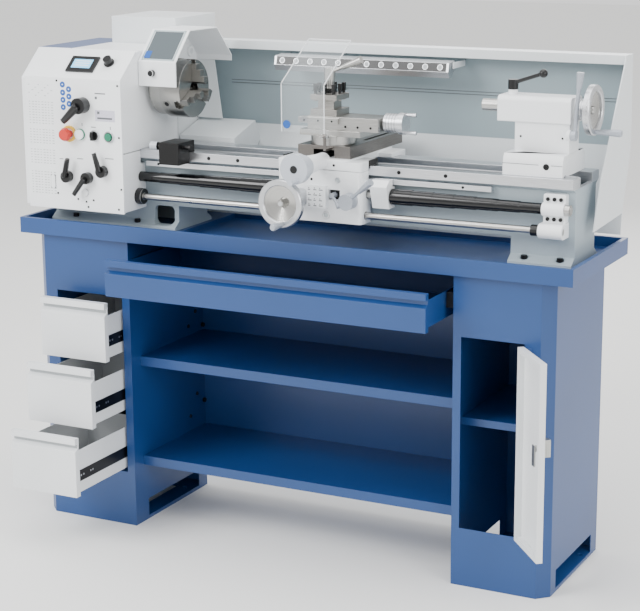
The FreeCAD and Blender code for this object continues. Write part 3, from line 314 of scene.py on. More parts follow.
def machinedMetal(name, colour, roughness=0.3, along="X", pitch=0.7, rise=0.12, metallic=1.0):
    # ground or milled steel: fine parallel scratches along one axis, a slight blotch of oil
    material = newMaterial(name)
    where = addNode(material, "ShaderNodeTexCoord")
    thin = 1000 / pitch
    stretch = [thin if axis != along else thin / 60 for axis in "XYZ"]
    lay = addNode(material, "ShaderNodeMapping", links={"Vector": (where, "Object"), "Scale": stretch})
    scratch = addNode(material, "ShaderNodeTexNoise",
                      links={"Vector": (lay, "Vector"), "Scale": 1.0, "Detail": 3.0})
    blotch = addNode(material, "ShaderNodeTexNoise",
                     links={"Vector": (where, "Object"), "Scale": 14.0, "Detail": 4.0})
    tone = twoTone(material, (scratch, "Fac"), linear(shade(colour, 0.86)), linear(shade(colour, 1.06)))
    gloss = addNode(material, "ShaderNodeMapRange",
                    links={"Value": (blotch, "Fac"), "To Min": roughness - 0.08, "To Max": roughness + 0.1})
    bump = addNode(material, "ShaderNodeBump",
                   links={"Height": (scratch, "Fac"), "Strength": rise, "Distance": 0.15 * mm})
    shader = addNode(material, "ShaderNodeBsdfPrincipled",
                     links={"Base Color": (tone, "Color"), "Roughness": (gloss, "Result"),
                            "Normal": (bump, "Normal"),
                            "Metallic": metallic})
    return closeMaterial(material, shader)


def turnedMetal(name, colour, centre, axis, roughness=0.24, pitch=0.9, rise=0.25):
    # faced on a lathe: rings about the centre, which throw the bright radial streaks
    material = newMaterial(name)
    where = addNode(material, "ShaderNodeTexCoord")
    flat = [0 if letter == axis else 1 for letter in "XYZ"]
    lay = addNode(material, "ShaderNodeMapping",
                  {"vector_type": "POINT"},
                  {"Vector": (where, "Object"), "Location": [-c * f for c, f in zip(centre, flat)],
                   "Scale": flat})
    reach = addNode(material, "ShaderNodeVectorMath", {"operation": "LENGTH"}, {0: (lay, "Vector")})
    rings = addNode(material, "ShaderNodeTexNoise", {"noise_dimensions": "1D"},
                    {"W": (reach, "Value"), "Scale": 1000 / pitch, "Detail": 2.0})
    tone = twoTone(material, (rings, "Fac"), linear(shade(colour, 0.9)), linear(shade(colour, 1.05)))
    bump = addNode(material, "ShaderNodeBump",
                   links={"Height": (rings, "Fac"), "Strength": rise, "Distance": 0.12 * mm})
    shader = addNode(material, "ShaderNodeBsdfPrincipled",
                     links={"Base Color": (tone, "Color"), "Roughness": roughness, "Normal": (bump, "Normal"),
                            "Metallic": 1.0})
    return closeMaterial(material, shader)


def mouldedPlastic(name, colour, roughness=0.38, spark=0.9, rise=0.08, glow=0.0):
    # spark-eroded mould texture on glass-filled nylon or ABS
    material = newMaterial(name)
    where = addNode(material, "ShaderNodeTexCoord")
    grain = addNode(material, "ShaderNodeTexNoise",
                    links={"Vector": (where, "Object"), "Scale": 1000 / spark, "Detail": 2.0})
    tone = twoTone(material, (grain, "Fac"), linear(shade(colour, 0.93)), linear(shade(colour, 1.05)))
    bump = addNode(material, "ShaderNodeBump",
                   links={"Height": (grain, "Fac"), "Strength": rise, "Distance": 0.2 * mm})
    shader = addNode(material, "ShaderNodeBsdfPrincipled",
                     links={"Base Color": (tone, "Color"), "Roughness": roughness, "Normal": (bump, "Normal"),
                            "IOR": 1.49, "Emission Color": linear(colour), "Emission Strength": glow})
    return closeMaterial(material, shader)


def clearSheet(name, colour, roughness=0.04, alpha=0.16):
    # polycarbonate seen face-on: nearly all light goes through, the gloss stays
    material = newMaterial(name)
    shader = addNode(material, "ShaderNodeBsdfPrincipled",
                     links={"Base Color": linear(colour), "Roughness": roughness, "IOR": 1.58, "Alpha": alpha})
    material.blend_method = "BLEND"
    return closeMaterial(material, shader)


def bedFinish(name):
    # iron casting: ground ways and rack along the top, light grey enamel on the webs and feet below
    tones = {"paint": "#a3b0b7", "steel": "#e4e6ea", "wayLine": 1041 * mm, "rackLow": 1021.5 * mm,
             "rackHigh": 1036.5 * mm, "rackFace": -78.5 * mm}
    material = newMaterial(name)
    where = addNode(material, "ShaderNodeTexCoord")
    split = addNode(material, "ShaderNodeSeparateXYZ", links={"Vector": (where, "Object")})

    def test(operation, value, limit):
        return addNode(material, "ShaderNodeMath", {"operation": operation}, {0: value, 1: limit})

    ways = test("GREATER_THAN", (split, "Z"), tones["wayLine"])
    over = test("GREATER_THAN", (split, "Z"), tones["rackLow"])
    under = test("LESS_THAN", (split, "Z"), tones["rackHigh"])
    proud = test("LESS_THAN", (split, "Y"), tones["rackFace"])
    rack = test("MULTIPLY", (test("MULTIPLY", (over, 0), (under, 0)), 0), (proud, 0))
    bare = test("MAXIMUM", (ways, 0), (rack, 0))
    lay = addNode(material, "ShaderNodeMapping", links={"Vector": (where, "Object"), "Scale": (25, 1400, 1400)})
    scratch = addNode(material, "ShaderNodeTexNoise",
                      links={"Vector": (lay, "Vector"), "Scale": 1.0, "Detail": 3.0})
    sand = addNode(material, "ShaderNodeTexNoise",
                   links={"Vector": (where, "Object"), "Scale": 450.0, "Detail": 3.0})
    steelTone = twoTone(material, (scratch, "Fac"), linear(shade(tones["steel"], 0.86)), linear(tones["steel"]))
    paintTone = twoTone(material, (sand, "Fac"), linear(shade(tones["paint"], 0.97)), linear(tones["paint"]))
    colour = addNode(material, "ShaderNodeMix", {"data_type": "RGBA"}, {"Factor": (bare, 0)})
    material.node_tree.links.new(paintTone.outputs["Color"], colour.inputs[6])
    material.node_tree.links.new(steelTone.outputs["Color"], colour.inputs[7])
    gloss = addNode(material, "ShaderNodeMapRange", links={"Value": (bare, 0), "To Min": 0.5, "To Max": 0.3})
    height = addNode(material, "ShaderNodeMix", {"data_type": "FLOAT"},
                     {"Factor": (bare, 0), "A": (sand, "Fac"), "B": (scratch, "Fac")})
    bump = addNode(material, "ShaderNodeBump",
                   links={"Height": (height, 0), "Strength": 0.1, "Distance": 0.3 * mm})
    shader = addNode(material, "ShaderNodeBsdfPrincipled",
                     links={"Base Color": (colour, 2), "Roughness": (gloss, "Result"), "Metallic": (bare, 0),
                            "Normal": (bump, "Normal")})
    return closeMaterial(material, shader)


def splitFinish(name, lowColour, highColour, height, lowMetal=1.0, highMetal=0.0):
    # one piece with two finishes, such as a steel post with blackened screws above it
    material = newMaterial(name)
    where = addNode(material, "ShaderNodeTexCoord")
    split = addNode(material, "ShaderNodeSeparateXYZ", links={"Vector": (where, "Object")})
    above = addNode(material, "ShaderNodeMath", {"operation": "GREATER_THAN"}, {0: (split, "Z"), 1: height})
    lay = addNode(material, "ShaderNodeMapping", links={"Vector": (where, "Object"), "Scale": (30, 1500, 1500)})
    scratch = addNode(material, "ShaderNodeTexNoise",
                      links={"Vector": (lay, "Vector"), "Scale": 1.0, "Detail": 2.0})
    bare = twoTone(material, (scratch, "Fac"), linear(shade(lowColour, 0.85)), linear(lowColour))
    colour = addNode(material, "ShaderNodeMix", {"data_type": "RGBA"}, {"Factor": (above, 0)})
    material.node_tree.links.new(bare.outputs["Color"], colour.inputs[6])
    colour.inputs[7].default_value = linear(highColour)
    metal = addNode(material, "ShaderNodeMapRange",
                    links={"Value": (above, 0), "To Min": lowMetal, "To Max": highMetal})
    bump = addNode(material, "ShaderNodeBump",
                   links={"Height": (scratch, "Fac"), "Strength": 0.1, "Distance": 0.15 * mm})
    shader = addNode(material, "ShaderNodeBsdfPrincipled",
                     links={"Base Color": (colour, 2), "Roughness": 0.36, "Metallic": (metal, "Result"),
                            "Normal": (bump, "Normal")})
    return closeMaterial(material, shader)


def twoPaints(name, inside, outside, tests):
    # two enamels on one pressing: the first where every test holds, such as a face that looks forward
    material = newMaterial(name)
    where = addNode(material, "ShaderNodeTexCoord")
    hold = None
    for source, axis, operation, limit in tests:
        split = addNode(material, "ShaderNodeSeparateXYZ", links={"Vector": (where, source)})
        test = addNode(material, "ShaderNodeMath", {"operation": operation}, {0: (split, axis), 1: limit})
        hold = test if hold is None else addNode(material, "ShaderNodeMath", {"operation": "MULTIPLY"},
                                                 {0: (hold, 0), 1: (test, 0)})
    drift = addNode(material, "ShaderNodeTexNoise",
                    links={"Vector": (where, "Object"), "Scale": 3.0, "Detail": 3.0})
    colour = addNode(material, "ShaderNodeMix", {"data_type": "RGBA"}, {"Factor": (hold, 0)})
    for socket, paint in ((6, outside), (7, inside)):
        tone = twoTone(material, (drift, "Fac"), linear(shade(paint, 0.97)), linear(paint))
        material.node_tree.links.new(tone.outputs["Color"], colour.inputs[socket])
    peel = addNode(material, "ShaderNodeTexNoise",
                   links={"Vector": (where, "Object"), "Scale": 600.0, "Detail": 2.0})
    bump = addNode(material, "ShaderNodeBump",
                   links={"Height": (peel, "Fac"), "Strength": 0.05, "Distance": 0.4 * mm})
    shader = addNode(material, "ShaderNodeBsdfPrincipled",
                     links={"Base Color": (colour, 2), "Roughness": 0.42, "Normal": (bump, "Normal"),
                            "Coat Weight": 0.25, "Coat Roughness": 0.22})
    return closeMaterial(material, shader)


def plainFloor():
    material = newMaterial("pale floor")
    shader = addNode(material, "ShaderNodeBsdfPrincipled",
                     links={"Base Color": linear("#f4f4f2"), "Roughness": 0.85})
    return closeMaterial(material, shader)


finish = {
    "blue": powderCoat("blue powder coat", "#143f78"),
    "drawerGrey": powderCoat("light grey powder coat", "#e2e5e7", 0.45),
    "white": powderCoat("machine white enamel", "#f1f4f6", 0.38, 2.0, 0.04),
    "guardGrey": powderCoat("guard grey powder coat", "#a9b9be", 0.42),
    "cabinetGrey": powderCoat("cabinet grey powder coat", "#dfe3e5", 0.45),
    "bed": bedFinish("bed casting"),
    "ground": machinedMetal("ground steel", "#bdbcb9", 0.3, "X"),
    "groundY": machinedMetal("cross ground steel", "#c2c1be", 0.3, "Y"),
    "darkIron": machinedMetal("dark ground iron", "#7a7672", 0.34, "Y", 0.8, 0.18),
    "chuck": turnedMetal("faced chuck steel", "#a3a29f", (0, 0, spindleHeight), "X", 0.26),
    "jaw": machinedMetal("jaw steel", "#94938f", 0.3, "Y", 0.7, 0.2),
    "zinc": machinedMetal("zinc plated steel", "#b9bab7", 0.36, "Z", 1.1, 0.06),
    # black nylon; also the painted shade in the apron's lever slot
    "blackAndShade": mouldedPlastic("black nylon and painted shade", "#07080a", 0.3),
    # black oxide steel; also the painted shade inside the chuck key sockets
    "blackOxideAndShade": machinedMetal("black oxide steel and painted shade", "#101011", 0.36, "Z", 0.8, 0.08, 0.4),
    "coverBlack": mouldedPlastic("oiled black spring steel", "#06070a", 0.16, 3.0, 0.03),
    "rubber": mouldedPlastic("wiper rubber", "#1b1b1b", 0.7, 0.8, 0.2),
    "red": mouldedPlastic("red stop cap", "#c8372b", 0.32),
    "yellow": mouldedPlastic("yellow collar", "#e0b43c", 0.4),
    "green": mouldedPlastic("green button", "#1c7a5c", 0.35),
    "lampGlow": mouldedPlastic("lit lamp lens", "#e9fff4", 0.25, 0.9, 0.02, 1.2),
    "screen": mouldedPlastic("blue display", "#7cc4ec", 0.2, 2.0, 0.01, 0.9),
    "signBlue": mouldedPlastic("blue sign foil", "#1c56a6", 0.4, 1.5, 0.02),
    # grey print; also serves as painted shade in the drawer finger grooves
    "printGreyAndShade": mouldedPlastic("grey print and painted shade", "#a9adb0", 0.5, 1.5, 0.02),
    # dark print; also the painted shade in the crank grooves
    "printDarkAndShade": mouldedPlastic("dark print and painted shade", "#5c6064", 0.5, 1.5, 0.02),
    "plateLilac": mouldedPlastic("lilac plate", "#cdccdb", 0.42, 1.5, 0.02),
    "alloy": machinedMetal("satin alloy", "#d3d5d8", 0.32, "Y", 0.7, 0.1),
    "handle": machinedMetal("silver painted handle", "#aeb4be", 0.34, "Y", 1.0, 0.05, 0.3),
    "dialGrey": powderCoat("grey wheel enamel", "#b3b9c2", 0.32, 1.6, 0.03),
    "glass": clearSheet("sight glass", "#dfe9ee", 0.05, 0.55),
    "shield": clearSheet("clear polycarbonate", "#e8f0f4", 0.03, 0.08),
    "window": clearSheet("smoked window", "#5d676c", 0.08, 0.8),
    "coverPaint": twoPaints("cover enamel", "#f1f4f6", "#143f78", [("Normal", "Y", "LESS_THAN", -0.5)]),
    "guardPaint": twoPaints("guard enamel", "#93a4aa", "#e2e7e9",
                            [("Object", "Y", "GREATER_THAN", 255 * mm),
                             ("Object", "Z", "GREATER_THAN", 1104 * mm),
                             ("Object", "X", "LESS_THAN", 792 * mm)]),
    "wheelFront": turnedMetal("turned wheel alloy", "#b4b3b0", (38 * mm, 0, 981 * mm), "Y", 0.2, 1.1, 0.3),
    "wheelEnd": turnedMetal("turned end wheel alloy", "#b4b3b0", (0, 0, 1230 * mm), "X", 0.2, 1.1, 0.3),
    "toolPost": splitFinish("tool post steel", "#aeaba6", "#0b0b0c", 1245.6 * mm),
}
print("materials made:", len(finish))


def dressFrame():
    # node: finish and how much its edges are broken, in mm
    looks = {
        "left_pedestal": ("blue", 0.5), "right_pedestal": ("blue", 0.5), "stand_shelves": ("blue", 0.4),
        "chip_tray": ("blue", 0.4), "centre_drawer": ("blue", 0.4), "back_panel": ("blue", 0.4),
        "end_gear_cover": ("coverPaint", 0.9), "top_drawer": ("drawerGrey", 0.4),
        "middle_drawer": ("drawerGrey", 0.4),
        "bottom_drawer": ("drawerGrey", 0.4), "cabinet_door": ("drawerGrey", 0.4),
        "drawer_runners": ("blackAndShade", 0.2),
        "door_lock": ("zinc", 0.3), "anchor_bolts": ("blackOxideAndShade", 0.4),
        "electrics_cabinet": ("cabinetGrey", 0.8),
        "splash_guard": ("guardPaint", 0.4), "headstock": ("white", 1.6), "feed_gearbox": ("white", 1.2),
        "front_panel": ("white", 0.5), "screw_bracket": ("white", 1.0), "bed": ("bed", 0.7),
        "drive_motor": ("darkIron", 0.6), "spindle": ("ground", 0.6), "chuck_body": ("chuck", 0.9),
        "chuck_jaw_1": ("jaw", 0.5), "chuck_jaw_2": ("jaw", 0.5), "chuck_jaw_3": ("jaw", 0.5),
        "chuck_guard": ("white", 0.6), "leadscrew": ("ground", 0), "feed_rod": ("ground", 0.3),
        "saddle": ("white", 1.4), "apron": ("white", 0), "cross_slide": ("darkIron", 0.6),
        "top_slide_base": ("ground", 0.6), "top_slide": ("ground", 0.6), "tool_post": ("toolPost", 0.5),
        "tool_post_lever": ("ground", 0.4), "carriage_shield": ("shield", 0.3), "bed_stop": ("blackOxideAndShade", 0.6),
        "cross_wheel": ("dialGrey", 0.4), "top_slide_crank": ("alloy", 0.4), "half_nut_lever": ("handle", 0.4),
        "feed_lever": ("handle", 0.4),
        "tailstock": ("white", 0.7), "tailstock_lock": ("handle", 0.4), "quill": ("groundY", 0.4),
        "quill_clamp": ("blackAndShade", 0.5), "range_lever": ("blackAndShade", 0.6), "left_gear_lever": ("blackAndShade", 0.5),
        "middle_gear_lever": ("blackAndShade", 0.5), "right_gear_lever": ("blackAndShade", 0.5),
        "selector_switch": ("blackAndShade", 0.4),
        "speed_knob": ("blackAndShade", 0.4), "stop_button": ("red", 0.6), "start_button": ("green", 0.4),
        "lamp_head": ("alloy", 0.5),
    }
    pieces = {node: softenedCad(node, width * mm, finish[look]) for node, (look, width) in looks.items()}
    print("nodes dressed:", len(pieces))


towardsFront, towardsRight, towardsLeft = (0, -1, 0), (1, 0, 0), (-1, 0, 0)  # ways that parts face


def addDisc(place, direction, radius, height, edge=0.4 * mm, around=32):
    outline = [(0, 0), (radius, 0), (radius, height - edge), (radius - edge, height), (0, height)]
    return addTurned(outline, place, direction, around)


def addRing(place, direction, outer, inner, height, edge=0.5 * mm):
    outline = [(inner, 0), (outer, 0), (outer, height - edge), (outer - edge, height),
               (inner + edge, height), (inner, height - edge), (inner, 0)]
    return addTurned(outline, place, direction, 40)


def addSocketScrew(place, direction, radius=3.5 * mm, height=1.2 * mm):
    # domed cap with a sunk round drive, standing on its seat
    outline = [(0, height * 0.35), (radius * 0.45, height * 0.35), (radius * 0.5, height),
               (radius * 0.86, height),
               (radius, height * 0.7), (radius, 0)]
    return addTurned(outline, place, direction, 24)


def group(pieces, name, body, material):
    return finishPiece(joinPieces(pieces), name, body, finish[material])


def at(x, y, z):
    return (x * mm, y * mm, z * mm)


def addPlate(low, high, soften=0.0):
    return addBlock([v * mm for v in low], [v * mm for v in high], soften)


def onSlope(foot, head, xLow, xHigh, start, stop, low, high):
    # a plate lying on a sloping sheet that runs from foot to head in Y and Z
    run = Vector((head[0] - foot[0], head[1] - foot[1])).normalized()
    out = Vector((-run[1], run[0]))
    spot = [Vector(foot) + run * s + out * h
            for s, h in ((start, low), (stop, low), (stop, high), (start, high))]
    return addPolyPrism([(p[0] * mm, p[1] * mm) for p in spot], xLow * mm, xHigh * mm, "X", 0)


def dressPanel():
    panel = {"face": -191.0, "foot": (-191, 1266), "head": (-108, 1337), "print": 0.35}
    front, body, slot = panel["face"], "machine_frame", "machine_white"
    foot, head = panel["foot"], panel["head"]
    group([onSlope(foot, head, -670, -582, 22, 78, 0.2, 5.4)], "display_bezel", body, "blackAndShade")
    group([onSlope(foot, head, -657, -596, 34, 66, 5.4, 5.8)], "display_screen", body, "screen")
    group([onSlope(foot, head, -650, -603, s, s + 3, 5.8, 6.0) for s in (42, 50, 58)],
          "display_bars", body, "white")
    discs = [(-671, z) for z in (1247, 1225, 1205, 1185)] + [(-651, z) for z in (1235, 1215, 1195)]
    group([addDisc(at(x, front, z), towardsFront, 8.4 * mm, 0.5 * mm, 0.15 * mm) for x, z in discs],
          "panel_discs", body, "signBlue")
    group([addDisc(at(x, front - 0.5, z), towardsFront, 2.0 * mm, 0.2 * mm, 0.05 * mm, 16) for x, z in discs],
          "panel_disc_hearts", body, "white")
    # rows of short printed dashes, with widths that repeat so they read as columns
    rows = []
    for top, count, wide in ((1242, 5, 1), (1195, 9, 6), (1118, 6, 6), (1062, 6, 6), (1000, 9, 4)):
        for row in range(count):
            for col in range(8):
                if wide == 1 and (row + col) % 3:
                    continue
                long = 4.5 + 2.5 * ((row * 3 + col * 5) % 3) / 2
                x = -786 + col * 10.6
                rows.append(addPlate((x, front - panel["print"], top - row * 7.4),
                                     (x + long, front, top - row * 7.4 + 1.7)))
    group(rows, "chart_print", body, "printGreyAndShade")
    group([addPlate((-567, front - 0.4, 1152), (-503, front, 1183))], "range_plate", body, "plateLilac")
    group([addPlate((-560, front - 0.6, 1172), (-552, front - 0.4, 1179)),
           addPlate((-560, front - 0.6, 1158), (-512, front - 0.4, 1163)),
           addPlate((-566, front - 0.3, 1226), (-532, front, 1229)),
           addPlate((-566, front - 0.3, 1212), (-559, front, 1219)),
           addPlate((-520, front - 0.3, 1131), (-518, front, 1139)),
           addPlate((-612, front - 0.3, 1136), (-610, front, 1145)),
           addPlate((-582, front - 0.3, 1134), (-566, front, 1136)),
           addPlate((-690, front - 0.3, 1040), (-678, front, 1042)),
           addPlate((-632, front - 0.3, 1044), (-612, front, 1046)),
           addPlate((-540, front - 0.3, 1050), (-512, front, 1052))],
          "panel_marks", body, "printDarkAndShade")
    group([addRing(at(-653, front, 1113), towardsFront, 22.5 * mm, 15.5 * mm, 7 * mm, 1.2 * mm)],
          "stop_collar", body, "yellow")
    group([addRing(at(-618, front, 1113), towardsFront, 15.5 * mm, 9.5 * mm, 5 * mm, 1.0 * mm)],
          "lamp_ring", body, "green")
    group([addDisc(at(-618, front, 1113), towardsFront, 9.4 * mm, 7.5 * mm, 2.2 * mm)], "lamp_lens", body,
          "lampGlow")
    group([addRing(at(-571, front, 1112), towardsFront, 15.5 * mm, 11 * mm, 5 * mm, 1.0 * mm),
           addRing(at(-523, front, 1111), towardsFront, 16 * mm, 11.6 * mm, 6 * mm, 1.2 * mm)],
          "button_bezels", body, "alloy")
    group([addPlate((-722, front - 1.2, 957), (-706, front, 995), 0.5 * mm)], "sight_frame", body,
          "printDarkAndShade")
    group([addPlate((-719, front - 1.6, 961), (-709, front - 1.2, 991))], "sight_glass", body, "glass")
    group([addRing(at(-608, front, 952), towardsFront, 10.5 * mm, 5 * mm, 2.4 * mm),
           addDisc(at(-608, front, 952), towardsFront, 4.6 * mm, 1.4 * mm)], "drain_plug", body, "alloy")
    screws = [(-690, 1257), (-492, 1251), (-492, 1110), (-490, 968), (-600, 912), (-500, 912), (-700, 944),
              (-633, 932),
              (-606, 926), (-582, 932)]
    group([addSocketScrew(at(x, front, z), towardsFront, 2.9 * mm) for x, z in screws],
          "panel_screws", body, "blackOxideAndShade")
    print("panel dressed")


def dressGuardAndChuck():
    foot, head = (-101, 1310), (-22, 1391)
    group([onSlope(foot, head, -466, -376, 10, 104, 0.05, 0.7)], "guard_window", "chuck_guard",
          "window")
    group([onSlope(foot, head, -472, -370, s, s + 4, 0.05, 1.1) for s in (5, 105)]
          + [onSlope(foot, head, x, x + 4, 5, 109, 0.05, 1.1) for x in (-472, -374)],
          "guard_window_trim", "chuck_guard", "guardGrey")
    group([onSlope(foot, head, -473, -449, 12, 36, 0.7, 1.1)], "guard_sign", "chuck_guard",
          "signBlue")
    group([addDisc(at(-437, -101, 1279), towardsFront, 9.5 * mm, 11.5 * mm, 2.0 * mm)],
          "guard_knob", "chuck_guard", "blackAndShade")
    # key sockets in the rim, one of them towards the front
    chuck = {"x": -0.412, "rimFoot": 0.0788, "holeFoot": 0.0790, "turns": (-28, 92, 212)}
    sockets, dark = [], []
    for turn in chuck["turns"]:
        out = (0, -math.cos(math.radians(turn)), math.sin(math.radians(turn)))
        foot, floor = [(chuck["x"], out[1] * reach, spindleHeight + out[2] * reach)
                       for reach in (chuck["rimFoot"], chuck["holeFoot"])]
        sockets.append(addRing(foot, out, 12 * mm, 7 * mm, 1.9 * mm, 0.3 * mm))
        # a near-black disc filling each socket's hole: painted shade in the hole
        dark.append(addDisc(floor, out, 6.9 * mm, 1.2 * mm, 0.1 * mm))
    group(sockets, "key_socket_rims", bodyOf["chuck_body"], "jaw")
    group(dark, "key_socket_painted_shade", bodyOf["chuck_body"], "blackOxideAndShade")
    print("guard and chuck dressed")


def dressLamp():
    lens = {"foot": (152, 1288), "head": (158, 1312), "count": 12, "first": -172.0, "step": 43.2}
    group([onSlope(lens["foot"], lens["head"], -190, 321, 1, 24, 0.05, 0.5)], "lamp_face", "lamp_head",
          "blackAndShade")
    run = Vector((0, 6, 24)).normalized()
    out = Vector((0, -run[2], run[1]))
    rings, hearts = [], []
    for place in range(lens["count"]):
        spot = Vector((lens["first"] + place * lens["step"], 152, 1288)) + run * 12.5 + out * 0.45
        rings.append(addRing(at(*spot), out, 8.2 * mm, 6.2 * mm, 0.8 * mm, 0.25 * mm))
        hearts.append(addDisc(at(*spot), out, 6.1 * mm, 0.6 * mm, 0.3 * mm))
    group(rings, "lens_rings", "lamp_head", "alloy")
    group(hearts, "lenses", "lamp_head", "printGreyAndShade")
    print("lamp dressed")


def dressCovers():
    # telescoping steel bands, each lapping over the next, with a dark line where they meet
    covers = {"screw_cover_left": (-482, -31, 14.0, 20.8, 7), "screw_cover_right": (692, 283, 14.0, 20.8, 7)}
    for node, (far, near, small, large, bands) in covers.items():
        outline = []
        for band in range(bands):
            radius = small + (large - small) * band / (bands - 1)
            start, stop = band / bands, (band + 1) / bands
            reach = abs(near - far)
            outline += [((radius - 0.9) * mm, start * reach * mm), (radius * mm, (start * reach + 0.8) * mm),
                        (radius * mm, (stop * reach - 0.4) * mm)]
            # a long run is split up into four steps along its length
            outline[-1:-1] = [(radius * mm, (start + (stop - start) * k / 4) * reach * mm) for k in (1, 2, 3)]
        outline = [(10.4 * mm, 0)] + outline + [(10.4 * mm, reach * mm)]
        piece = addTurned(outline, at(far, -103, 993), (1 if near > far else -1, 0, 0), 48, 30)
        finishPiece(piece, node + "_bands", bodyOf[node], finish["coverBlack"])
        piece.parent = None
        if "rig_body" in piece:
            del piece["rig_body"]
        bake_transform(piece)
        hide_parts(node)
    print("covers made")


def dressCarriage():
    body = "carriage"
    group([addPlate((-36, -100, 1060), (-30, -56, 1082), 0.8 * mm),
           addPlate((214, -100, 1060), (220, -56, 1082), 0.8 * mm)],
          "way_wipers", body, "rubber")
    group([addSocketScrew(at(x, -143, z), towardsFront, 3.4 * mm)
           for x, z in ((135, 1070), (70, 1030), (-15, 1062))],
          "saddle_screws", body, "blackOxideAndShade")
    group([addRing(at(146, -143, 1032), towardsFront, 8 * mm, 5.6 * mm, 1.4 * mm),
           addRing(at(112, -143, 938), towardsFront, 11 * mm, 6 * mm, 2.4 * mm)], "oil_fittings", body,
           "alloy")
    group([addDisc(at(146, -143, 1032), towardsFront, 5.5 * mm, 0.8 * mm),
           addDisc(at(112, -143, 938), towardsFront, 5.8 * mm, 1.6 * mm)], "oil_glasses", body,
           "glass")
    marks = []
    for row, z in enumerate((1004, 990, 976, 962)):
        for col, x in enumerate((66, 82, 98)):
            marks.append(addPlate((x, -157.35, z), (x + 7 + (row + col) % 3 * 2, -157, z + 2.2)))
            marks.append(addPlate((x + 2, -157.35, z + 4), (x + 4, -157, z + 7)))
    group(marks, "feed_chart_marks", body, "printDarkAndShade")
    # dark bands in the crank's grooves: painted shade in the grooves
    group([addDisc(at(255 + 8 * i, -62, 1177), towardsRight, 24.62 * mm, 1.1 * mm, 0.1 * mm, 48)
           for i in range(4)],
          "crank_groove_shade", "top_slide_crank", "printDarkAndShade")
    group([addSocketScrew(at(x, -105, 1166), towardsFront, 3.2 * mm) for x in (150, 185, 222)],
          "top_slide_screws", "top_slide", "blackOxideAndShade")
    group([addSocketScrew(at(x, -114, 1179), towardsFront, 2.6 * mm) for x in (35, 75, 115)],
          "strip_screws", "top_slide", "blackOxideAndShade")
    # pale cut edges of the clear sheet
    foot, head = (-160, 1277), (0, 1378)
    low = [addPlate((x, -163, 1153), (x + 1.4, -160, 1277)) for x in (-7, 116.4)]
    slant = [onSlope(foot, head, x, x + 1.4, 1, 186, 0, 2.9) for x in (-7, 116.4)]
    group(low + slant + [onSlope(foot, head, -7, 118, 185, 187, 0, 2.9)],
          "shield_edges", "carriage_shield", "white")
    group([addDisc(at(9, -163, 1172), towardsFront, 11 * mm, 0.3 * mm, 0.1 * mm)],
          "shield_sign", "carriage_shield", "signBlue")
    print("carriage dressed")


def addCone(start, stop, low, high, around=24):
    # a tapered round bar with rounded ends
    run = Vector(stop) - Vector(start)
    reach = run.length
    outline = [(0, -low * 0.3), (low * 0.7, -low * 0.18), (low, low * 0.2), (high, reach - high * 0.4),
               (high * 0.75, reach + high * 0.1), (0, reach + high * 0.25)]
    return addTurned(outline, start, run, around)


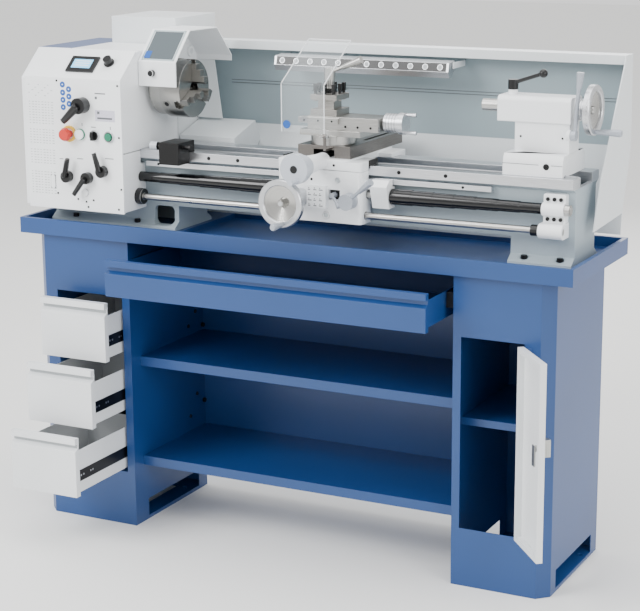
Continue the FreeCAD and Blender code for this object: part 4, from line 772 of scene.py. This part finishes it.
def dressWheels():
    # dished handwheels: white rim, turned cone falling back to the hub, and a tapered grip
    wheel = {"dish": 62.9 * mm, "rim": 62.95 * mm, "rimInside": 47 * mm, "rimEdge": 2.2 * mm,
             "frontDeep": 18 * mm, "rearDeep": 16 * mm}

    def dish(radius, depth):
        rim = radius - 12 * mm
        return [(0, depth * 0.72), (8 * mm, depth * 0.72), (10 * mm, depth * 0.5), (11 * mm, depth * 0.06),
                (rim - 3 * mm, depth * 0.62), (rim, depth * 0.92), (rim + 3 * mm, depth),
                (radius - 3 * mm, depth),
                (radius - 0.8 * mm, depth - 2 * mm), (radius, depth * 0.6), (radius - 1 * mm, 1.5 * mm),
                (radius - 3 * mm, 0), (0, 0)]
    front = addTurned(dish(wheel["dish"], wheel["frontDeep"]), at(38, -244, 981), towardsFront, 72)
    finishPiece(front, "carriage_wheel_dish", "carriage_wheel", finish["wheelFront"])
    grip = addCone(at(45, -258, 929), at(45, -313.6, 929), 6.5 * mm, 9.5 * mm)
    finishPiece(grip, "carriage_wheel_grip", "carriage_wheel", finish["handle"])
    group([addDisc(at(38, -255.5, 981), towardsFront, 6 * mm, 3 * mm, 0.4 * mm),
           addDisc(at(38, -209, 981), towardsFront, 16 * mm, 36 * mm, 0.6 * mm, 40),
           addDisc(at(38, -143.6, 981), towardsFront, 24 * mm, 68 * mm, 0.8 * mm, 48)],
          "carriage_wheel_hub", "carriage_wheel", "alloy")
    group([addRing(at(38, -243.9, 981), towardsFront, wheel["rim"], wheel["rimInside"], 18.3 * mm,
                   wheel["rimEdge"])],
          "carriage_wheel_rim", "carriage_wheel", "alloy")
    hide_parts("carriage_wheel")
    rear = addTurned(dish(wheel["dish"], wheel["rearDeep"]), at(774, 0, 1230), towardsRight, 72)
    finishPiece(rear, "tailstock_wheel_dish", "tailstock_wheel", finish["wheelEnd"])
    grip = addCone(at(786, 0, 1176), at(855.6, 0, 1176), 6.0 * mm, 9.5 * mm)
    finishPiece(grip, "tailstock_wheel_grip", "tailstock_wheel", finish["handle"])
    group([addDisc(at(743.5, 0, 1230), towardsRight, 25 * mm, 20 * mm, 0.6 * mm, 48),
           addDisc(at(763, 0, 1230), towardsRight, 16 * mm, 12 * mm, 0.5 * mm, 40)],
          "tailstock_dial", "tailstock_wheel", "alloy")
    group([addRing(at(773.9, 0, 1230), towardsRight, wheel["rim"], wheel["rimInside"], 16.3 * mm,
                   wheel["rimEdge"])],
          "tailstock_wheel_rim", "tailstock_wheel", "alloy")
    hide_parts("tailstock_wheel")
    group([addDisc(at(95, -290, 1078), towardsFront, 10 * mm, 1.4 * mm, 0.5 * mm)],
          "cross_wheel_hub", "cross_wheel", "blackAndShade")
    group([addRing(at(-482.5, -117, 940), towardsRight, 22.4 * mm, 9.3 * mm, 18.6 * mm, 1.5 * mm),
           addRing(at(669.8, -117, 940), towardsRight, 14.4 * mm, 9.3 * mm, 19.4 * mm, 1.0 * mm)],
          "feed_rod_collars", "feed_rod", "blackAndShade")
    group([addDisc(at(-406, -130, 1086), towardsLeft, 11.4 * mm, 22.6 * mm, 1.0 * mm)],
          "stop_thimble", "bed_stop", "dialGrey")
    arms = {"range_lever": ((-604, -222, 1194), (-650, -222, 1152), 12.5, 9.5),
            "left_gear_lever": ((-662, -214, 994), (-651, -214, 1042), 7.5, 6.2),
            "middle_gear_lever": ((-596, -214, 994), (-631, -214, 950), 7.5, 6.2),
            "right_gear_lever": ((-546, -214, 1015), (-560, -214, 1063), 7.5, 6.2)}
    for node, (start, stop, low, high) in arms.items():
        arm = addCone(at(*start), at(*stop), low * mm, high * mm)
        finishPiece(arm, node + "_arm", node, finish["blackAndShade"])
    print("wheels and levers dressed")


def dressTailAndBed():
    group([addSocketScrew(at(692, -84, 1094), towardsFront, 8 * mm, 1.4 * mm),
           addSocketScrew(at(606, -36, 1160), towardsFront, 2.6 * mm),
           addSocketScrew(at(716, -36, 1160), towardsFront, 2.6 * mm)],
          "tailstock_screws", "tailstock", "blackOxideAndShade")
    group([addPlate((577, -84.35, 1097.2), (672, -84, 1098.6)),
           addPlate((704, -84.35, 1097.2), (735, -84, 1098.6))],
          "tailstock_split", "tailstock", "printDarkAndShade")
    group([addDisc(at(746 + 5 * i, 0, spindleHeight / mm), towardsRight, 25.1 * mm, 0.7 * mm, 0.1 * mm, 48)
           for i in range(3)],
          "dial_lines", "tailstock_wheel", "printDarkAndShade")
    group([addSocketScrew(at(x, -100, 1056), towardsFront, 5 * mm, 1.2 * mm) for x in (-265, -175, 300, 430)]
          + [addSocketScrew(at(x, -94, 1029), towardsFront, 3.6 * mm, 1.0 * mm) for x in (-430, 475)],
          "bed_screws", "machine_frame", "blackOxideAndShade")
    print("tailstock and bed dressed")


def dressStand():
    for node, front, base in (("top_drawer", -285, 500), ("middle_drawer", -361, 330),
                              ("bottom_drawer", -447, 160)):
        group([addPlate((-502.5, front + 18, base + 40), (-502.0, front + 356, base + 72)),
               addPlate((-706.0, front + 18, base + 40), (-705.5, front + 356, base + 72))],
              node + "_rail_faces", node, "blackAndShade")
        # a grey strip on the back wall of each finger groove: painted shade in the groove
        group([addPlate((-708, front + 12.6, base + 137.5), (-500, front + 13.2, base + 148.8))],
              node + "_grip_painted_shade", node, "printGreyAndShade")
        group([addDisc(at(-502.0, front + y, base + 56), towardsRight, 3 * mm, 0.25 * mm, 0.05 * mm, 16)
               for y in (30, 42, 76, 86)],
              node + "_rail_rivets", node, "alloy")
        group([addPlate((-703.2, front + 19, base + 10.05), (-504.8, front + 355, base + 11.0))],
              node + "_mat", node, "rubber")
    group([addDisc(at(-472, y, z), towardsRight, 6 * mm, 3.2 * mm, 1.2 * mm, 20)
           for y, z in ((150, 552), (110, 516), (150, 300), (110, 240))]
          + [addDisc(at(496, y, z), towardsLeft, 6 * mm, 3.2 * mm, 1.2 * mm, 20)
             for y, z in ((150, 552), (150, 300))],
          "shelf_bolts", "machine_frame", "blackOxideAndShade")
    group([addPlate((-396, 261.9, z), (794, 264.6, z + 1.6)) for z in (1218, 1226)],
          "guard_seams", "machine_frame", "printDarkAndShade")
    # a black plate set back in the apron's lever slot: painted shade in the slot
    group([addPlate((119.4, -131.7, 979.4), (151.6, -131.1, 1005.6))],
          "feed_lever_slot_shade", "carriage", "blackAndShade")
    # plate closing the window in the right foot, a hair proud of the casting
    cover = addPolyPrism([(-94.2 * mm, 857.0 * mm), (-77.2 * mm, 868.9 * mm), (-77.2 * mm, 910.4 * mm),
                          (-66 * mm, 910.4 * mm), (-66 * mm, 857.0 * mm)], 693.6 * mm, 724.4 * mm, "X", 0)
    finishPiece(cover, "right_foot_cover", "machine_frame", finish["bed"])
    print("stand dressed")


placeCamera()
lightStudio()
layFloor()
dressFrame()
dressPanel()
dressGuardAndChuck()
dressLamp()
dressCovers()
dressCarriage()
dressWheels()
dressTailAndBed()
dressStand()
